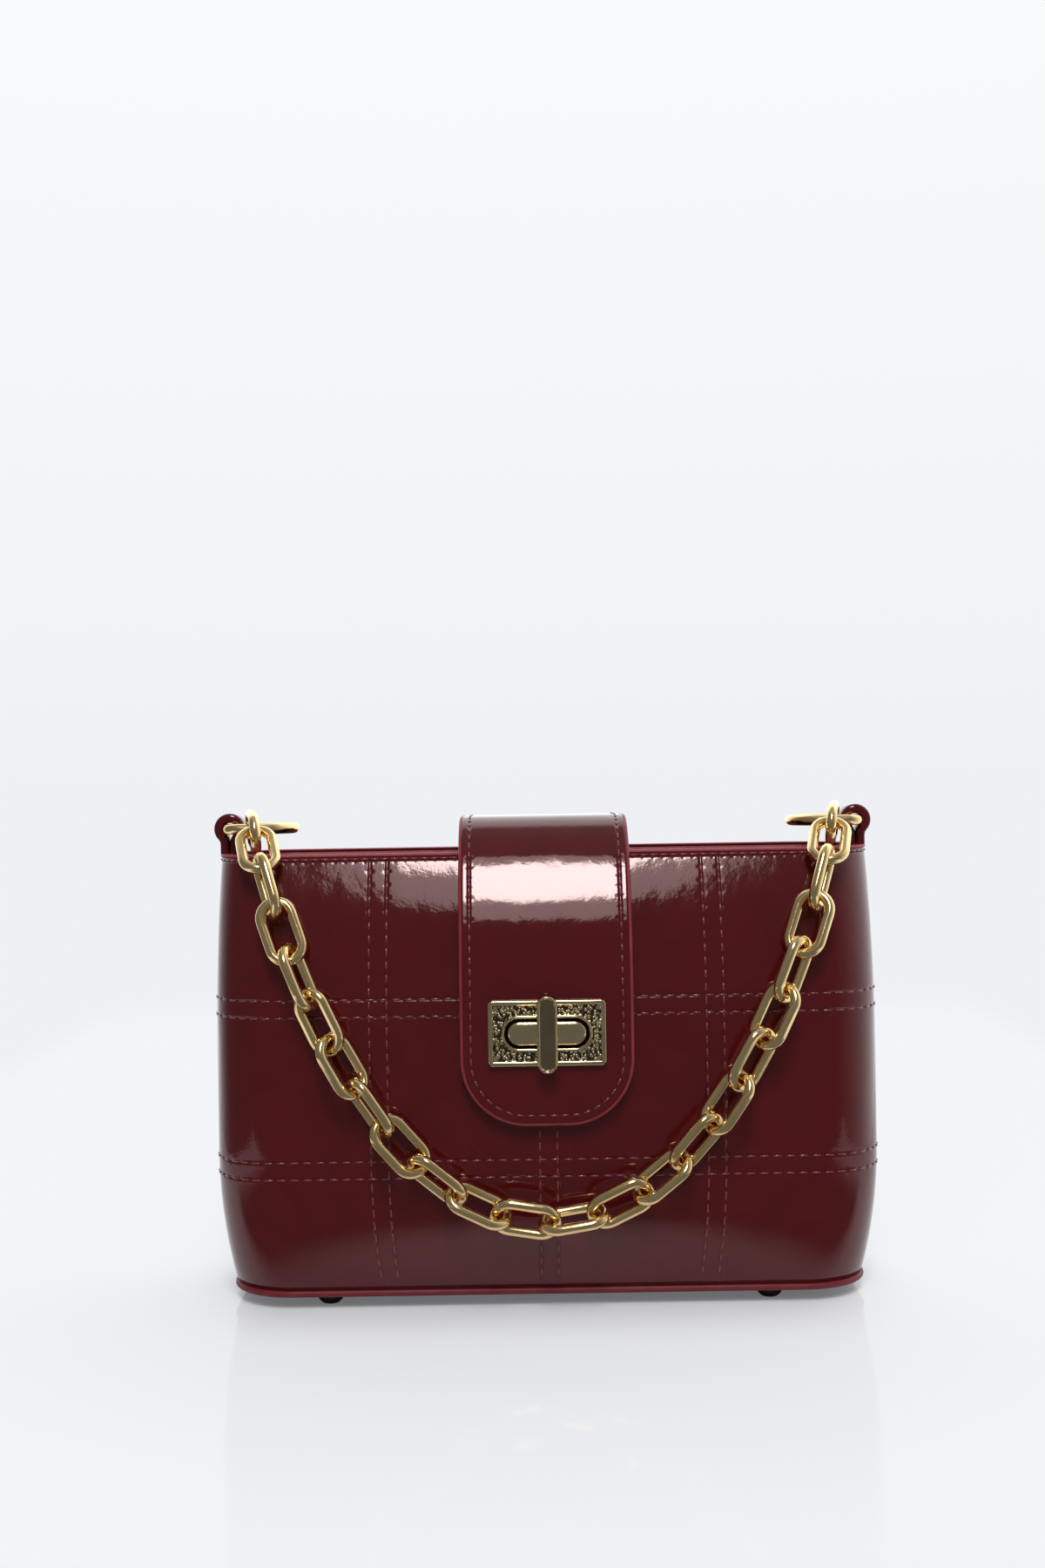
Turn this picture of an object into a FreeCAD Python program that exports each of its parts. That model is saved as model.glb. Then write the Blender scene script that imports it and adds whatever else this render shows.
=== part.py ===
import FreeCAD, Part
import math
import os
import Sketcher

# Chain shoulder bag, in millimetres: +Z up, standing on its feet, its front towards -Y.
# Driving dimensions: name, value, meaning. Half sizes are measured from the middle of the bag.
DIMENSIONS = [
    ("belly_half_width", 106.6, "half width at the widest"),
    ("rim_half_width", 106.2, "half width at the mouth"),
    ("base_half_width", 102.6, "half width at the base"),
    ("belly_half_depth", 41, "half depth at the deepest"),
    ("rim_half_depth", 28.8, "half depth at the mouth"),
    ("base_half_depth", 32, "half depth at the base"),
    ("corner_radius", 21, "upright corners seen from above"),
    ("wall", 2.4, "leather and board of the panels"),
    ("foot_height", 4, "floor to base"),
    ("base_thickness", 2.2, "base panel"),
    ("base_overhang", 0.6, "base panel beyond the walls"),
    ("belly_low_height", 50, "where the lower curve ends"),
    ("shoulder_drop", 1.2, "where the upper curve begins, below the middle of the lock"),
    ("rim_height", 145, "top of the mouth edge"),
    ("rim_edge_height", 0.9, "painted edge of the mouth"),
    ("rim_edge_overhang", 0.3, "painted edge beyond the wall"),
    ("board_thickness", 2, "stiffener in the base"),
    ("board_gap", 0.6, "stiffener to wall"),
    ("lining_gap", 1.5, "wall to lining, filled by padding"),
    ("lining_thickness", 0.8, "lining cloth and glue"),
    ("lining_top_gap", 0.4, "wall to lining at the mouth"),
    ("foot_radius", 4.8, "dome of a foot"),
    ("foot_half_span", 71, "feet from the middle, across"),
    ("foot_half_reach", 22, "feet from the middle, front to back"),
    ("shank_radius", 1.2, "rivet shank of a foot"),
    ("shank_clearance", 0.2, "hole round a shank"),
    ("washer_radius", 4, "washer over the base board"),
    ("washer_thickness", 0.8, "washer over the base board"),
    ("flap_width", 53, "strap flap"),
    ("flap_leather", 1.3, "outer layer of the flap"),
    ("flap_backing", 1.1, "inner layer of the flap"),
    ("flap_drop", 84.3, "lower end of the flap below the mouth edge"),
    ("flap_end_radius", 20, "lower corners of the flap"),
    ("flap_standoff", 2.6, "front panel to the flap's inner face"),
    ("flap_rise", 11.2, "top of the arch above the mouth edge"),
    ("bend_gap", 0.55, "lock plate to the start of the front bend"),
    ("bend_drop", 1.5, "end of the front bend below the mouth edge"),
    ("mouth_gap", 2.4, "mouth edge to the flap's inner face there"),
    ("fold_drop", 2.14, "fold of the flap below the mouth edge, at the back"),
    ("tail_length", 36, "height of the part sewn to the back"),
    ("tail_gap", 0.6, "back panel to the tail, filled by thread and glue"),
    ("lock_drop", 55.8, "middle of the lock below the mouth edge"),
    ("plate_width", 36.8, "lock plate"),
    ("plate_height", 20.5, "lock plate"),
    ("plate_thickness", 1.6, "lock plate"),
    ("plate_corner", 1.6, "corners of the lock plate"),
    ("back_plate_thickness", 0.6, "plate behind the flap"),
    ("slot_width", 26.6, "slot in the lock plate"),
    ("slot_height", 9.4, "slot in the lock plate"),
    ("slot_rim", 0.9, "raised wall round the slot"),
    ("slot_rim_rise", 0.8, "raised wall above the plate"),
    ("lock_clearance", 0.4, "play between lock pieces"),
    ("boss_width", 24.6, "oval boss in the slot"),
    ("boss_height", 7.4, "oval boss in the slot"),
    ("flange_thickness", 0.8, "foot of the boss"),
    ("flange_seat", 0.1, "front panel to the foot of the boss"),
    ("flange_margin", 4, "foot of the boss beyond it"),
    ("knob_width", 6.5, "turning bar"),
    ("knob_length", 24, "turning bar"),
    ("knob_thickness", 3.2, "turning bar"),
    ("shaft_radius", 1.7, "shaft of the turning bar"),
    ("clip_radius", 3, "clip on the shaft"),
    ("clip_thickness", 0.7, "clip on the shaft"),
    ("rivet_radius", 0.7, "rivets of the lock plate"),
    ("rivet_inset", 2.4, "rivets from the plate's edges"),
    ("loop_inset", 2.2, "middle of a hanger loop inside the mouth's outline"),
    ("loop_width", 10.3, "hanger loop seen from the front"),
    ("loop_height", 13.3, "hanger loop above the mouth edge"),
    ("loop_depth", 9.6, "hanger strip, front to back"),
    ("loop_leather", 2.6, "hanger strip"),
    ("ring_wire", 3.5, "ring"),
    ("ring_half_gauge", 10.5, "middle of the ring to its arms"),
    ("ring_length", 21, "bar in the loop to the ring's far end"),
    ("ring_corner", 4, "corners of the ring at the loop"),
    ("link_wire", 3.4, "chain link"),
    ("link_pitch", 15.35, "chain link, one to the next"),
    ("link_outer_width", 13.4, "chain link"),
    ("link_gap", 0.8, "play between links"),
    ("ring_link_gap", 1.2, "play between ring and end link"),
    ("end_link_inset", 8.5, "end link from the loop, along the ring"),
    ("bridge_run", 6, "sideways run of the two links from ring to mouth"),
    ("hang_drop", 2.4, "where the chain begins to hang, below the mouth edge"),
    ("chain_gap", 0.6, "front panel to the hanging links"),
]
LINKS_PER_SIDE = 12
# Turn of each link about its own length: 0 shows its broad side to the front, 90 its edge.
LINK_ROLLS = [90, 0, 90, -5, -70, 30, -40, 60, -25, 50, -55, 25]
LINK_ROLLS += [110, 25, -55, 45, -45, 40, -40, 50, -20, 90, 0, 90]
# The two bridging links reach this share of their length, bent this way over the mouth.
BRIDGE_TAUTNESS = 0.967
BRIDGE_LIFT = FreeCAD.Vector(0, -0.4, 0.9)

doc = FreeCAD.newDocument("chain_shoulder_bag")
sheet = doc.addObject("Spreadsheet::Sheet", "sizes")
for row, (alias, value, meaning) in enumerate(DIMENSIONS, start=1):
    sheet.set(f"A{row}", meaning)
    sheet.set(f"B{row}", str(value))
    sheet.setAlias(f"B{row}", alias)
doc.recompute()


class Size:
    """A length together with the expression on the sheet that gives it."""

    def __init__(self, value, text):
        self.value = value
        self.text = text

    def joined(self, sign, other, value):
        return Size(value, f"({self.text} {sign} {as_size(other).text})")

    def __add__(self, other):
        return self.joined("+", other, self.value + as_size(other).value)

    def __sub__(self, other):
        return self.joined("-", other, self.value - as_size(other).value)

    def __mul__(self, other):
        return self.joined("*", other, self.value * as_size(other).value)

    def __truediv__(self, other):
        return self.joined("/", other, self.value / as_size(other).value)

    def __neg__(self):
        return as_size(-1) * self


def as_size(number):
    return number if isinstance(number, Size) else Size(float(number), repr(float(number)))


def root(size):
    return Size(math.sqrt(size.value), f"sqrt({size.text})")


class Sheet:
    """Reads a cell of the sheet by its alias, as a Size."""

    def __getattr__(self, alias):
        return Size(float(sheet.get(alias)), f"sizes.{alias}")


s = Sheet()
ZERO = as_size(0)

# Heights and depths that several pieces share.
base_top = s.foot_height + s.base_thickness
wall_top = s.rim_height - s.rim_edge_height
lock_height = s.rim_height - s.lock_drop
shoulder_height = lock_height - s.shoulder_drop
board_top = base_top + s.board_thickness
lining_floor = board_top + s.washer_thickness + s.lock_clearance
flap_thickness = s.flap_leather + s.flap_backing
flap_inner = s.belly_half_depth + s.flap_standoff
flap_outer = flap_inner + flap_thickness
flap_top = s.rim_height + s.flap_rise
flap_end = s.rim_height - s.flap_drop
plate_front = flap_outer + s.plate_thickness
boss_front = plate_front + s.slot_rim_rise + s.lock_clearance / 2
knob_back = boss_front + s.lock_clearance
link_end_radius = (s.link_outer_width - s.link_wire) / 2
hang_reach = s.link_outer_width / 2 + s.chain_gap
loop_x = s.rim_half_width - s.loop_inset
ring_height = s.rim_height + s.loop_height - s.loop_width / 2


def upper_share(height):
    """Share of the way from shoulder to mouth, squared: the upper curve is a parabola."""
    share = (height - shoulder_height) / (s.rim_height - shoulder_height)
    return share * share


def upper_half_depth(height):
    return s.belly_half_depth - (s.belly_half_depth - s.rim_half_depth) * upper_share(height)


def upper_half_width(height):
    return s.belly_half_width - (s.belly_half_width - s.rim_half_width) * upper_share(height)


tail_bottom = s.rim_height - s.tail_length
tail_back = upper_half_depth(tail_bottom) + s.tail_gap + flap_thickness
chain_front = s.belly_half_depth + hang_reach + s.link_outer_width / 2
# The bag's middle plane lies behind the origin, which is the middle of the whole outline.
bag_y = (chain_front - tail_back) / 2
sub_parts = []


def bind(thing, name, size):
    thing.setExpression(name, as_size(size).text)


def place(thing, x=ZERO, y=ZERO, z=ZERO):
    for axis, size in zip("xyz", (x, bag_y + y, z)):
        bind(thing, f"Placement.Base.{axis}", size)


def new_body(label):
    body = doc.addObject("PartDesign::Body", label)
    body.Label = label
    place(body)
    sub_parts.append(body)
    return body


def plane_of(body, role):
    return next(p for p in body.Origin.OriginFeatures if p.Role == role)


def arc_centre(start, end, radius, side):
    """Centre of the arc from start to end, to the left of the way there if side is 1."""
    chord = end - start
    height = math.sqrt(max(radius**2 - chord.Length**2 / 4, 0))
    normal = FreeCAD.Vector(-chord.y, chord.x, 0).normalize()
    return (start + end) / 2 + normal * (side * height)


def new_sketch(body, name, role, offset=ZERO):
    sketch = body.newObject("Sketcher::SketchObject", name)
    sketch.AttachmentSupport = (plane_of(body, role), [""])
    sketch.MapMode = "FlatFace"
    bind(sketch, "AttachmentOffset.Base.z", offset)
    return sketch


def draw(sketch, corners, arcs=None):
    """Closed outline through corners given as pairs of sizes, each held by its coordinates.

    arcs maps an edge's number to its radius and side: 1 turns left along the outline, -1 right.
    """
    arcs = arcs or {}
    first = sketch.GeometryCount
    points = [FreeCAD.Vector(x.value, y.value, 0) for x, y in corners]
    ends = []
    for number, start in enumerate(points):
        end = points[(number + 1) % len(points)]
        if number not in arcs:
            sketch.addGeometry(Part.LineSegment(start, end), False)
            ends.append((1, 2))
            continue
        radius, side = arcs[number]
        centre = arc_centre(start, end, radius.value, side)
        circle = Part.Circle(centre, FreeCAD.Vector(0, 0, 1), radius.value)
        low, high = (start, end) if side > 0 else (end, start)
        angles = [math.atan2(p.y - centre.y, p.x - centre.x) for p in (low, high)]
        if angles[1] <= angles[0]:
            angles[1] += 2 * math.pi
        sketch.addGeometry(Part.ArcOfCircle(circle, *angles), False)
        ends.append((1, 2) if side > 0 else (2, 1))
    for number, (_, finish) in enumerate(ends):
        after = (number + 1) % len(points)
        sketch.addConstraint(
            Sketcher.Constraint("Coincident", first + number, finish, first + after, ends[after][0])
        )
    for number, corner in enumerate(corners):
        hold(sketch, (first + number, ends[number][0]), corner)
    for number, (radius, _) in arcs.items():
        chord = points[(number + 1) % len(points)] - points[number]
        if chord.Length < 1.999 * radius.value:
            made = sketch.addConstraint(Sketcher.Constraint("Radius", first + number, radius.value))
            bind(sketch, f"Constraints[{made}]", radius)
        elif abs(chord.x) < abs(chord.y):
            hold(sketch, (first + number, 3), (corners[number][0], None))
        else:
            hold(sketch, (first + number, 3), (None, corners[number][1]))


def hold(sketch, spot, corner):
    """Fix a point of the sketch, given as geometry and point numbers, at the corner's sizes."""
    for kind, axis, size in zip(("DistanceX", "DistanceY"), (-2, -1), corner):
        if size is ZERO:
            sketch.addConstraint(Sketcher.Constraint("PointOnObject", *spot, axis))
        elif size is not None:
            made = sketch.addConstraint(Sketcher.Constraint(kind, -1, 1, *spot, size.value))
            bind(sketch, f"Constraints[{made}]", size)


def profile(body, name, role, corners, arcs=None, offset=ZERO):
    sketch = new_sketch(body, name, role, offset)
    draw(sketch, corners, arcs)
    return sketch


def circles(body, name, role, centres, radius, offset):
    """Sketch of round holes or pins."""
    sketch = new_sketch(body, name, role, offset)
    for number, (x, y) in enumerate(centres):
        centre = FreeCAD.Vector(x.value, y.value, 0)
        sketch.addGeometry(Part.Circle(centre, FreeCAD.Vector(0, 0, 1), radius.value), False)
        hold(sketch, (number, 3), (x, y))
        made = sketch.addConstraint(Sketcher.Constraint("Radius", number, radius.value))
        bind(sketch, f"Constraints[{made}]", radius)
    return sketch


def rounded_rectangle(body, name, role, half_x, half_y, radius, offset=ZERO, middle=ZERO):
    """Sketch of a rectangle with round corners, about the height given by middle."""
    flat_x = half_x - radius
    flat_y = half_y - radius
    low = middle - half_y
    high = middle + half_y
    corners = [
        (-flat_x, low),
        (flat_x, low),
        (half_x, middle - flat_y),
        (half_x, middle + flat_y),
        (flat_x, high),
        (-flat_x, high),
        (-half_x, middle + flat_y),
        (-half_x, middle - flat_y),
    ]
    return profile(body, name, role, corners, {n: (radius, 1) for n in (1, 3, 5, 7)}, offset)


def stadium(body, name, role, length, width, offset=ZERO, middle=ZERO, upright=False):
    """Sketch of a bar with round ends, lying or upright, about the height given by middle."""
    radius = width / 2
    flat = length / 2 - radius
    if upright:
        corners = [
            (radius, middle - flat),
            (radius, middle + flat),
            (-radius, middle + flat),
            (-radius, middle - flat),
        ]
    else:
        corners = [
            (-flat, middle - radius),
            (flat, middle - radius),
            (flat, middle + radius),
            (-flat, middle + radius),
        ]
    return profile(body, name, role, corners, {1: (radius, 1), 3: (radius, 1)}, offset)


def pad(body, name, sketch, length, symmetric=False):
    feature = body.newObject("PartDesign::Pad", name)
    feature.Profile = sketch
    if symmetric:
        feature.SideType = "Symmetric"
    bind(feature, "Length", length)
    return feature


def pocket_both_ways(body, name, sketch, length):
    feature = body.newObject("PartDesign::Pocket", name)
    feature.Profile = sketch
    feature.SideType = "Symmetric"
    bind(feature, "Length", length)
    return feature


def loft(body, name, sketches, kind="PartDesign::AdditiveLoft"):
    feature = body.newObject(kind, name)
    feature.Profile = sketches[0]
    feature.Sections = sketches[1:]
    return feature


def wall_stations():
    """Height, half width and half depth of the wall's outer face, from the base up."""
    found = []
    for share in (1, 0.66, 0.33, 0):
        height = s.belly_low_height - (s.belly_low_height - base_top) * share
        narrowing = (s.belly_half_width - s.base_half_width) * share**2
        thinning = (s.belly_half_depth - s.base_half_depth) * share**2
        found.append((height, s.belly_half_width - narrowing, s.belly_half_depth - thinning))
    middle = (s.belly_low_height + shoulder_height) / 2
    found.append((middle, s.belly_half_width, s.belly_half_depth))
    for share in (0, 0.36, 0.7, 1):
        height = shoulder_height + (wall_top - shoulder_height) * share
        found.append((height, upper_half_width(height), upper_half_depth(height)))
    return found


def make_panel(label, side):
    """Half of the bag's wall as a U seen from above; side is -1 for the front, 1 for the back."""
    body = new_body(label)
    sketches = []
    for number, (height, half_x, half_y) in enumerate(wall_stations()):
        radius = s.corner_radius
        inner_radius = radius - s.wall
        flat_x = half_x - radius
        inner_x = half_x - s.wall
        flat_y = (half_y - radius) * side
        outer_y = half_y * side
        inner_y = (half_y - s.wall) * side
        corners = [
            (-half_x, ZERO),
            (-half_x, flat_y),
            (-flat_x, outer_y),
            (flat_x, outer_y),
            (half_x, flat_y),
            (half_x, ZERO),
            (inner_x, ZERO),
            (inner_x, flat_y),
            (flat_x, inner_y),
            (-flat_x, inner_y),
            (-inner_x, flat_y),
            (-inner_x, ZERO),
        ]
        arcs = {n: (radius, -side) for n in (1, 3)}
        arcs.update({n: (inner_radius, side) for n in (7, 9)})
        sketches.append(profile(body, f"{label}_ring_{number}", "XY_Plane", corners, arcs, height))
    loft(body, f"{label}_loft", sketches)
    if side < 0:
        hole = s.shaft_radius + s.lock_clearance
        cut = round_hole(body, f"{label}_shaft_hole", hole, lock_height)
        pocket_both_ways(body, f"{label}_shaft_cut", cut, s.belly_half_depth * 3)
    return body


def round_hole(body, name, radius, height):
    """Circle about the lock's axis."""
    return circles(body, name, "XZ_Plane", [(ZERO, height)], radius, s.belly_half_depth)


def make_base():
    """Base panel, its stiffener and the mouth's painted edge."""
    panel = new_body("base_panel")
    half_x = s.base_half_width + s.base_overhang
    half_y = s.base_half_depth + s.base_overhang
    sketch = rounded_rectangle(
        panel, "base_outline", "XY_Plane", half_x, half_y, s.corner_radius, s.foot_height
    )
    pad(panel, "base_pad", sketch, s.base_thickness)
    drill_for_feet(panel)

    board = new_body("base_board")
    inset = s.wall + s.board_gap
    sketch = rounded_rectangle(
        board,
        "board_outline",
        "XY_Plane",
        s.base_half_width - inset,
        s.base_half_depth - inset,
        s.corner_radius - inset,
        base_top,
    )
    pad(board, "board_pad", sketch, s.board_thickness)
    drill_for_feet(board)

    rim = new_body("mouth_edge")
    breadth = s.rim_edge_overhang + s.wall + s.lining_top_gap + s.lining_thickness
    for part, kind, inset in (
        ("outside", "PartDesign::AdditiveLoft", -s.rim_edge_overhang),
        ("inside", "PartDesign::SubtractiveLoft", breadth - s.rim_edge_overhang),
    ):
        sketches = []
        for level, height in (("low", wall_top), ("high", s.rim_height)):
            half_x = upper_half_width(height) - inset
            half_y = upper_half_depth(height) - inset
            radius = s.corner_radius - inset
            name = f"mouth_{part}_{level}"
            sketches.append(rounded_rectangle(rim, name, "XY_Plane", half_x, half_y, radius, height))
        loft(rim, f"mouth_{part}", sketches, kind)


def foot_places():
    return [(s.foot_half_span * a, s.foot_half_reach * b) for a in (-1, 1) for b in (-1, 1)]


def drill_for_feet(body):
    radius = s.shank_radius + s.shank_clearance
    sketch = circles(body, f"{body.Label}_holes", "XY_Plane", foot_places(), radius, base_top)
    pocket_both_ways(body, f"{body.Label}_drill", sketch, (s.base_thickness + s.board_thickness) * 3)


def rivet_places():
    half_x = s.plate_width / 2 - s.rivet_inset
    half_z = s.plate_height / 2 - s.rivet_inset
    return [(half_x * a, lock_height + half_z * b) for a in (-1, 1) for b in (-1, 1)]


def drill_for_rivets(body):
    name = f"{body.Label}_rivet_holes"
    sketch = circles(body, name, "XZ_Plane", rivet_places(), s.rivet_radius, flap_inner)
    pocket_both_ways(body, f"{body.Label}_rivet_drill", sketch, flap_outer)


def make_lining():
    """Thin tub inside the walls, open at the mouth, where it closes up to the wall."""
    body = new_body("lining")
    lower = s.belly_low_height - base_top
    for part, kind, depth in (
        ("outside", "PartDesign::AdditiveLoft", ZERO),
        ("inside", "PartDesign::SubtractiveLoft", s.lining_thickness),
    ):
        inset = s.wall + s.lining_gap + depth
        floor = lining_floor + depth
        drop = (s.belly_low_height - floor) / lower
        half_x = s.belly_half_width - (s.belly_half_width - s.base_half_width) * drop * drop
        half_y = s.belly_half_depth - (s.belly_half_depth - s.base_half_depth) * drop * drop
        stations = [(floor, half_x, half_y, inset)]
        stations += [(*station, inset) for station in wall_stations()[1:-1]]
        stations.append((*wall_stations()[-1], s.wall + s.lining_top_gap + depth))
        sketches = []
        for number, (height, half_x, half_y, inward) in enumerate(stations):
            name = f"lining_{part}_{number}"
            size = (half_x - inward, half_y - inward, s.corner_radius - inward)
            sketches.append(rounded_rectangle(body, name, "XY_Plane", *size, height))
        loft(body, f"lining_{part}", sketches, kind)


def part_object(kind, name, **sizes):
    thing = doc.addObject(kind, name)
    for prop, size in sizes.items():
        bind(thing, prop, size)
    return thing


def fused(name, shapes):
    whole = doc.addObject("Part::MultiFuse", name)
    whole.Shapes = shapes
    return whole


def grouped(label, shapes):
    group = doc.addObject("Part::Compound", label)
    group.Label = label
    group.Links = shapes
    sub_parts.append(group)


def make_feet():
    """Four domes with shanks through the base, and the washers that hold them."""
    feet = []
    washers = []
    cap = Size(
        math.degrees(math.asin(s.foot_height.value / s.foot_radius.value)),
        f"asin({(s.foot_height / s.foot_radius).text})",
    )
    shank_top = board_top + s.washer_thickness
    for number, (x, y) in enumerate(foot_places()):
        dome = part_object("Part::Sphere", f"dome_{number}", Radius=s.foot_radius, Angle1=-cap, Angle2=ZERO)
        place(dome, x, y, s.foot_height)
        shank = part_object(
            "Part::Cylinder",
            f"shank_{number}",
            Radius=s.shank_radius,
            Height=shank_top - s.foot_height,
        )
        place(shank, x, y, s.foot_height)
        feet.append(fused(f"foot_{number}", [dome, shank]))
        disc = part_object(
            "Part::Cylinder", f"disc_{number}", Radius=s.washer_radius, Height=s.washer_thickness
        )
        bore = part_object(
            "Part::Cylinder",
            f"bore_{number}",
            Radius=s.shank_radius + s.shank_clearance / 2,
            Height=s.washer_thickness,
        )
        for thing in (disc, bore):
            place(thing, x, y, board_top)
        washer = doc.addObject("Part::Cut", f"washer_{number}")
        washer.Base = disc
        washer.Tool = bore
        washers.append(washer)
    grouped("base_feet", feet)
    grouped("foot_washers", washers)


# Slope of the back wall at the mouth, and where the flap's outer bend meets the tail.
rim_run = (s.belly_half_depth - s.rim_half_depth) * 2 / (s.rim_height - shoulder_height)
rim_slant = root(as_size(1) + rim_run * rim_run)


# The flap's outer face in front: upright at the lock, a wide bend back to the mouth, then the arch.
bend_z = lock_height + s.plate_height / 2 + s.bend_gap
mouth_z = s.rim_height - s.bend_drop
mouth_y = s.rim_half_depth + s.rim_edge_overhang + s.mouth_gap + flap_thickness
lean_back = flap_outer - mouth_y
lean_up = mouth_z - bend_z
reach_squared = lean_back * lean_back + lean_up * lean_up
tilt = lean_back * lean_up * 2 / reach_squared
stand = (lean_up * lean_up - lean_back * lean_back) / reach_squared
front_radius = reach_squared / (lean_back * 2)
arch_radius = (flap_top - mouth_z) / (as_size(1) - tilt)
arch_y = arch_radius * stand - mouth_y


def wall_face(height, lift):
    """Distance from the middle plane of a face that lies lift outside the upper wall."""
    run = (s.belly_half_depth - s.rim_half_depth) * 2 * (height - shoulder_height)
    steep = s.rim_height - shoulder_height
    run = run / (steep * steep)
    return upper_half_depth(height) + lift * root(as_size(1) + run * run)


def make_flap_layer(label, inner, outer):
    """One layer of the moving flap: a strap profile between two depths, as wide as the flap.

    inner and outer are measured outwards from the flap's inner face.
    """
    body = new_body(label)
    front_in = flap_inner + inner
    front_out = flap_inner + outer
    depth_out = flap_thickness - outer
    depth_in = flap_thickness - inner
    top_out = flap_top - depth_out
    top_in = flap_top - depth_in
    turn = Size(1, "1") / rim_slant
    lean = rim_run / rim_slant
    hinge_y, hinge_z = hinge_place()
    back_radius = (flap_top - hinge_z) / (as_size(1) - lean)
    back_y = hinge_y - back_radius * turn
    corners = [
        (-front_out, flap_end),
        (-front_out, bend_z),
        (depth_out * stand - mouth_y, mouth_z - depth_out * tilt),
        (arch_y, top_out),
        (back_y, top_out),
        (hinge_y - depth_out * turn, hinge_z - depth_out * lean),
        (hinge_y - depth_in * turn, hinge_z - depth_in * lean),
        (back_y, top_in),
        (arch_y, top_in),
        (depth_in * stand - mouth_y, mouth_z - depth_in * tilt),
        (-front_in, bend_z),
        (-front_in, flap_end),
    ]
    arcs = {
        1: (front_radius - depth_out, -1),
        2: (arch_radius - depth_out, -1),
        4: (back_radius - depth_out, -1),
        6: (back_radius - depth_in, 1),
        8: (arch_radius - depth_in, 1),
        9: (front_radius - depth_in, 1),
    }
    sketch = profile(body, f"{label}_side", "YZ_Plane", corners, arcs)
    pad(body, f"{label}_strap", sketch, s.flap_width, symmetric=True)
    half = s.flap_width / 2
    radius = s.flap_end_radius
    for name, side in (("left", -1), ("right", 1)):
        outside = half + flap_thickness
        corners = [
            ((half - radius) * side, flap_end),
            ((half - radius) * side, flap_end - flap_thickness),
            (outside * side, flap_end - flap_thickness),
            (outside * side, flap_end + radius),
            (half * side, flap_end + radius),
        ]
        arcs = {4: (radius, -side)}
        sketch = profile(body, f"{label}_{name}_corner", "XZ_Plane", corners, arcs, flap_inner)
        pocket_both_ways(body, f"{label}_{name}_trim", sketch, flap_outer)
    slot = stadium(
        body,
        f"{label}_slot",
        "XZ_Plane",
        s.slot_width + s.slot_rim * 2,
        s.slot_height + s.slot_rim * 2,
        flap_inner,
        lock_height,
    )
    pocket_both_ways(body, f"{label}_slot_cut", slot, flap_outer)
    drill_for_rivets(body)


def hinge_place():
    """Where the flap folds: on its outer face, at the back of the mouth."""
    lift = (s.tail_gap + flap_thickness) * rim_slant
    return s.rim_half_depth + lift + rim_run * s.fold_drop, s.rim_height - s.fold_drop


def make_flap_tail():
    """The strap's end that is sewn to the back panel, below the fold."""
    body = new_body("flap_tail")
    hinge_y, hinge_z = hinge_place()
    turn = Size(1, "1") / rim_slant
    lean = rim_run / rim_slant
    top_in = (hinge_y - flap_thickness * turn, hinge_z - flap_thickness * lean)
    outer_lift = s.tail_gap + flap_thickness
    heights = [hinge_z - (hinge_z - tail_bottom) * share for share in (0.25, 0.5, 0.75, 1)]
    corners = [top_in, (hinge_y, hinge_z)]
    corners += [(wall_face(height, outer_lift), height) for height in heights]
    corners += [(wall_face(height, s.tail_gap), height) for height in reversed(heights)]
    sketch = profile(body, "tail_side", "YZ_Plane", corners)
    pad(body, "tail_strap", sketch, s.flap_width, symmetric=True)


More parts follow.
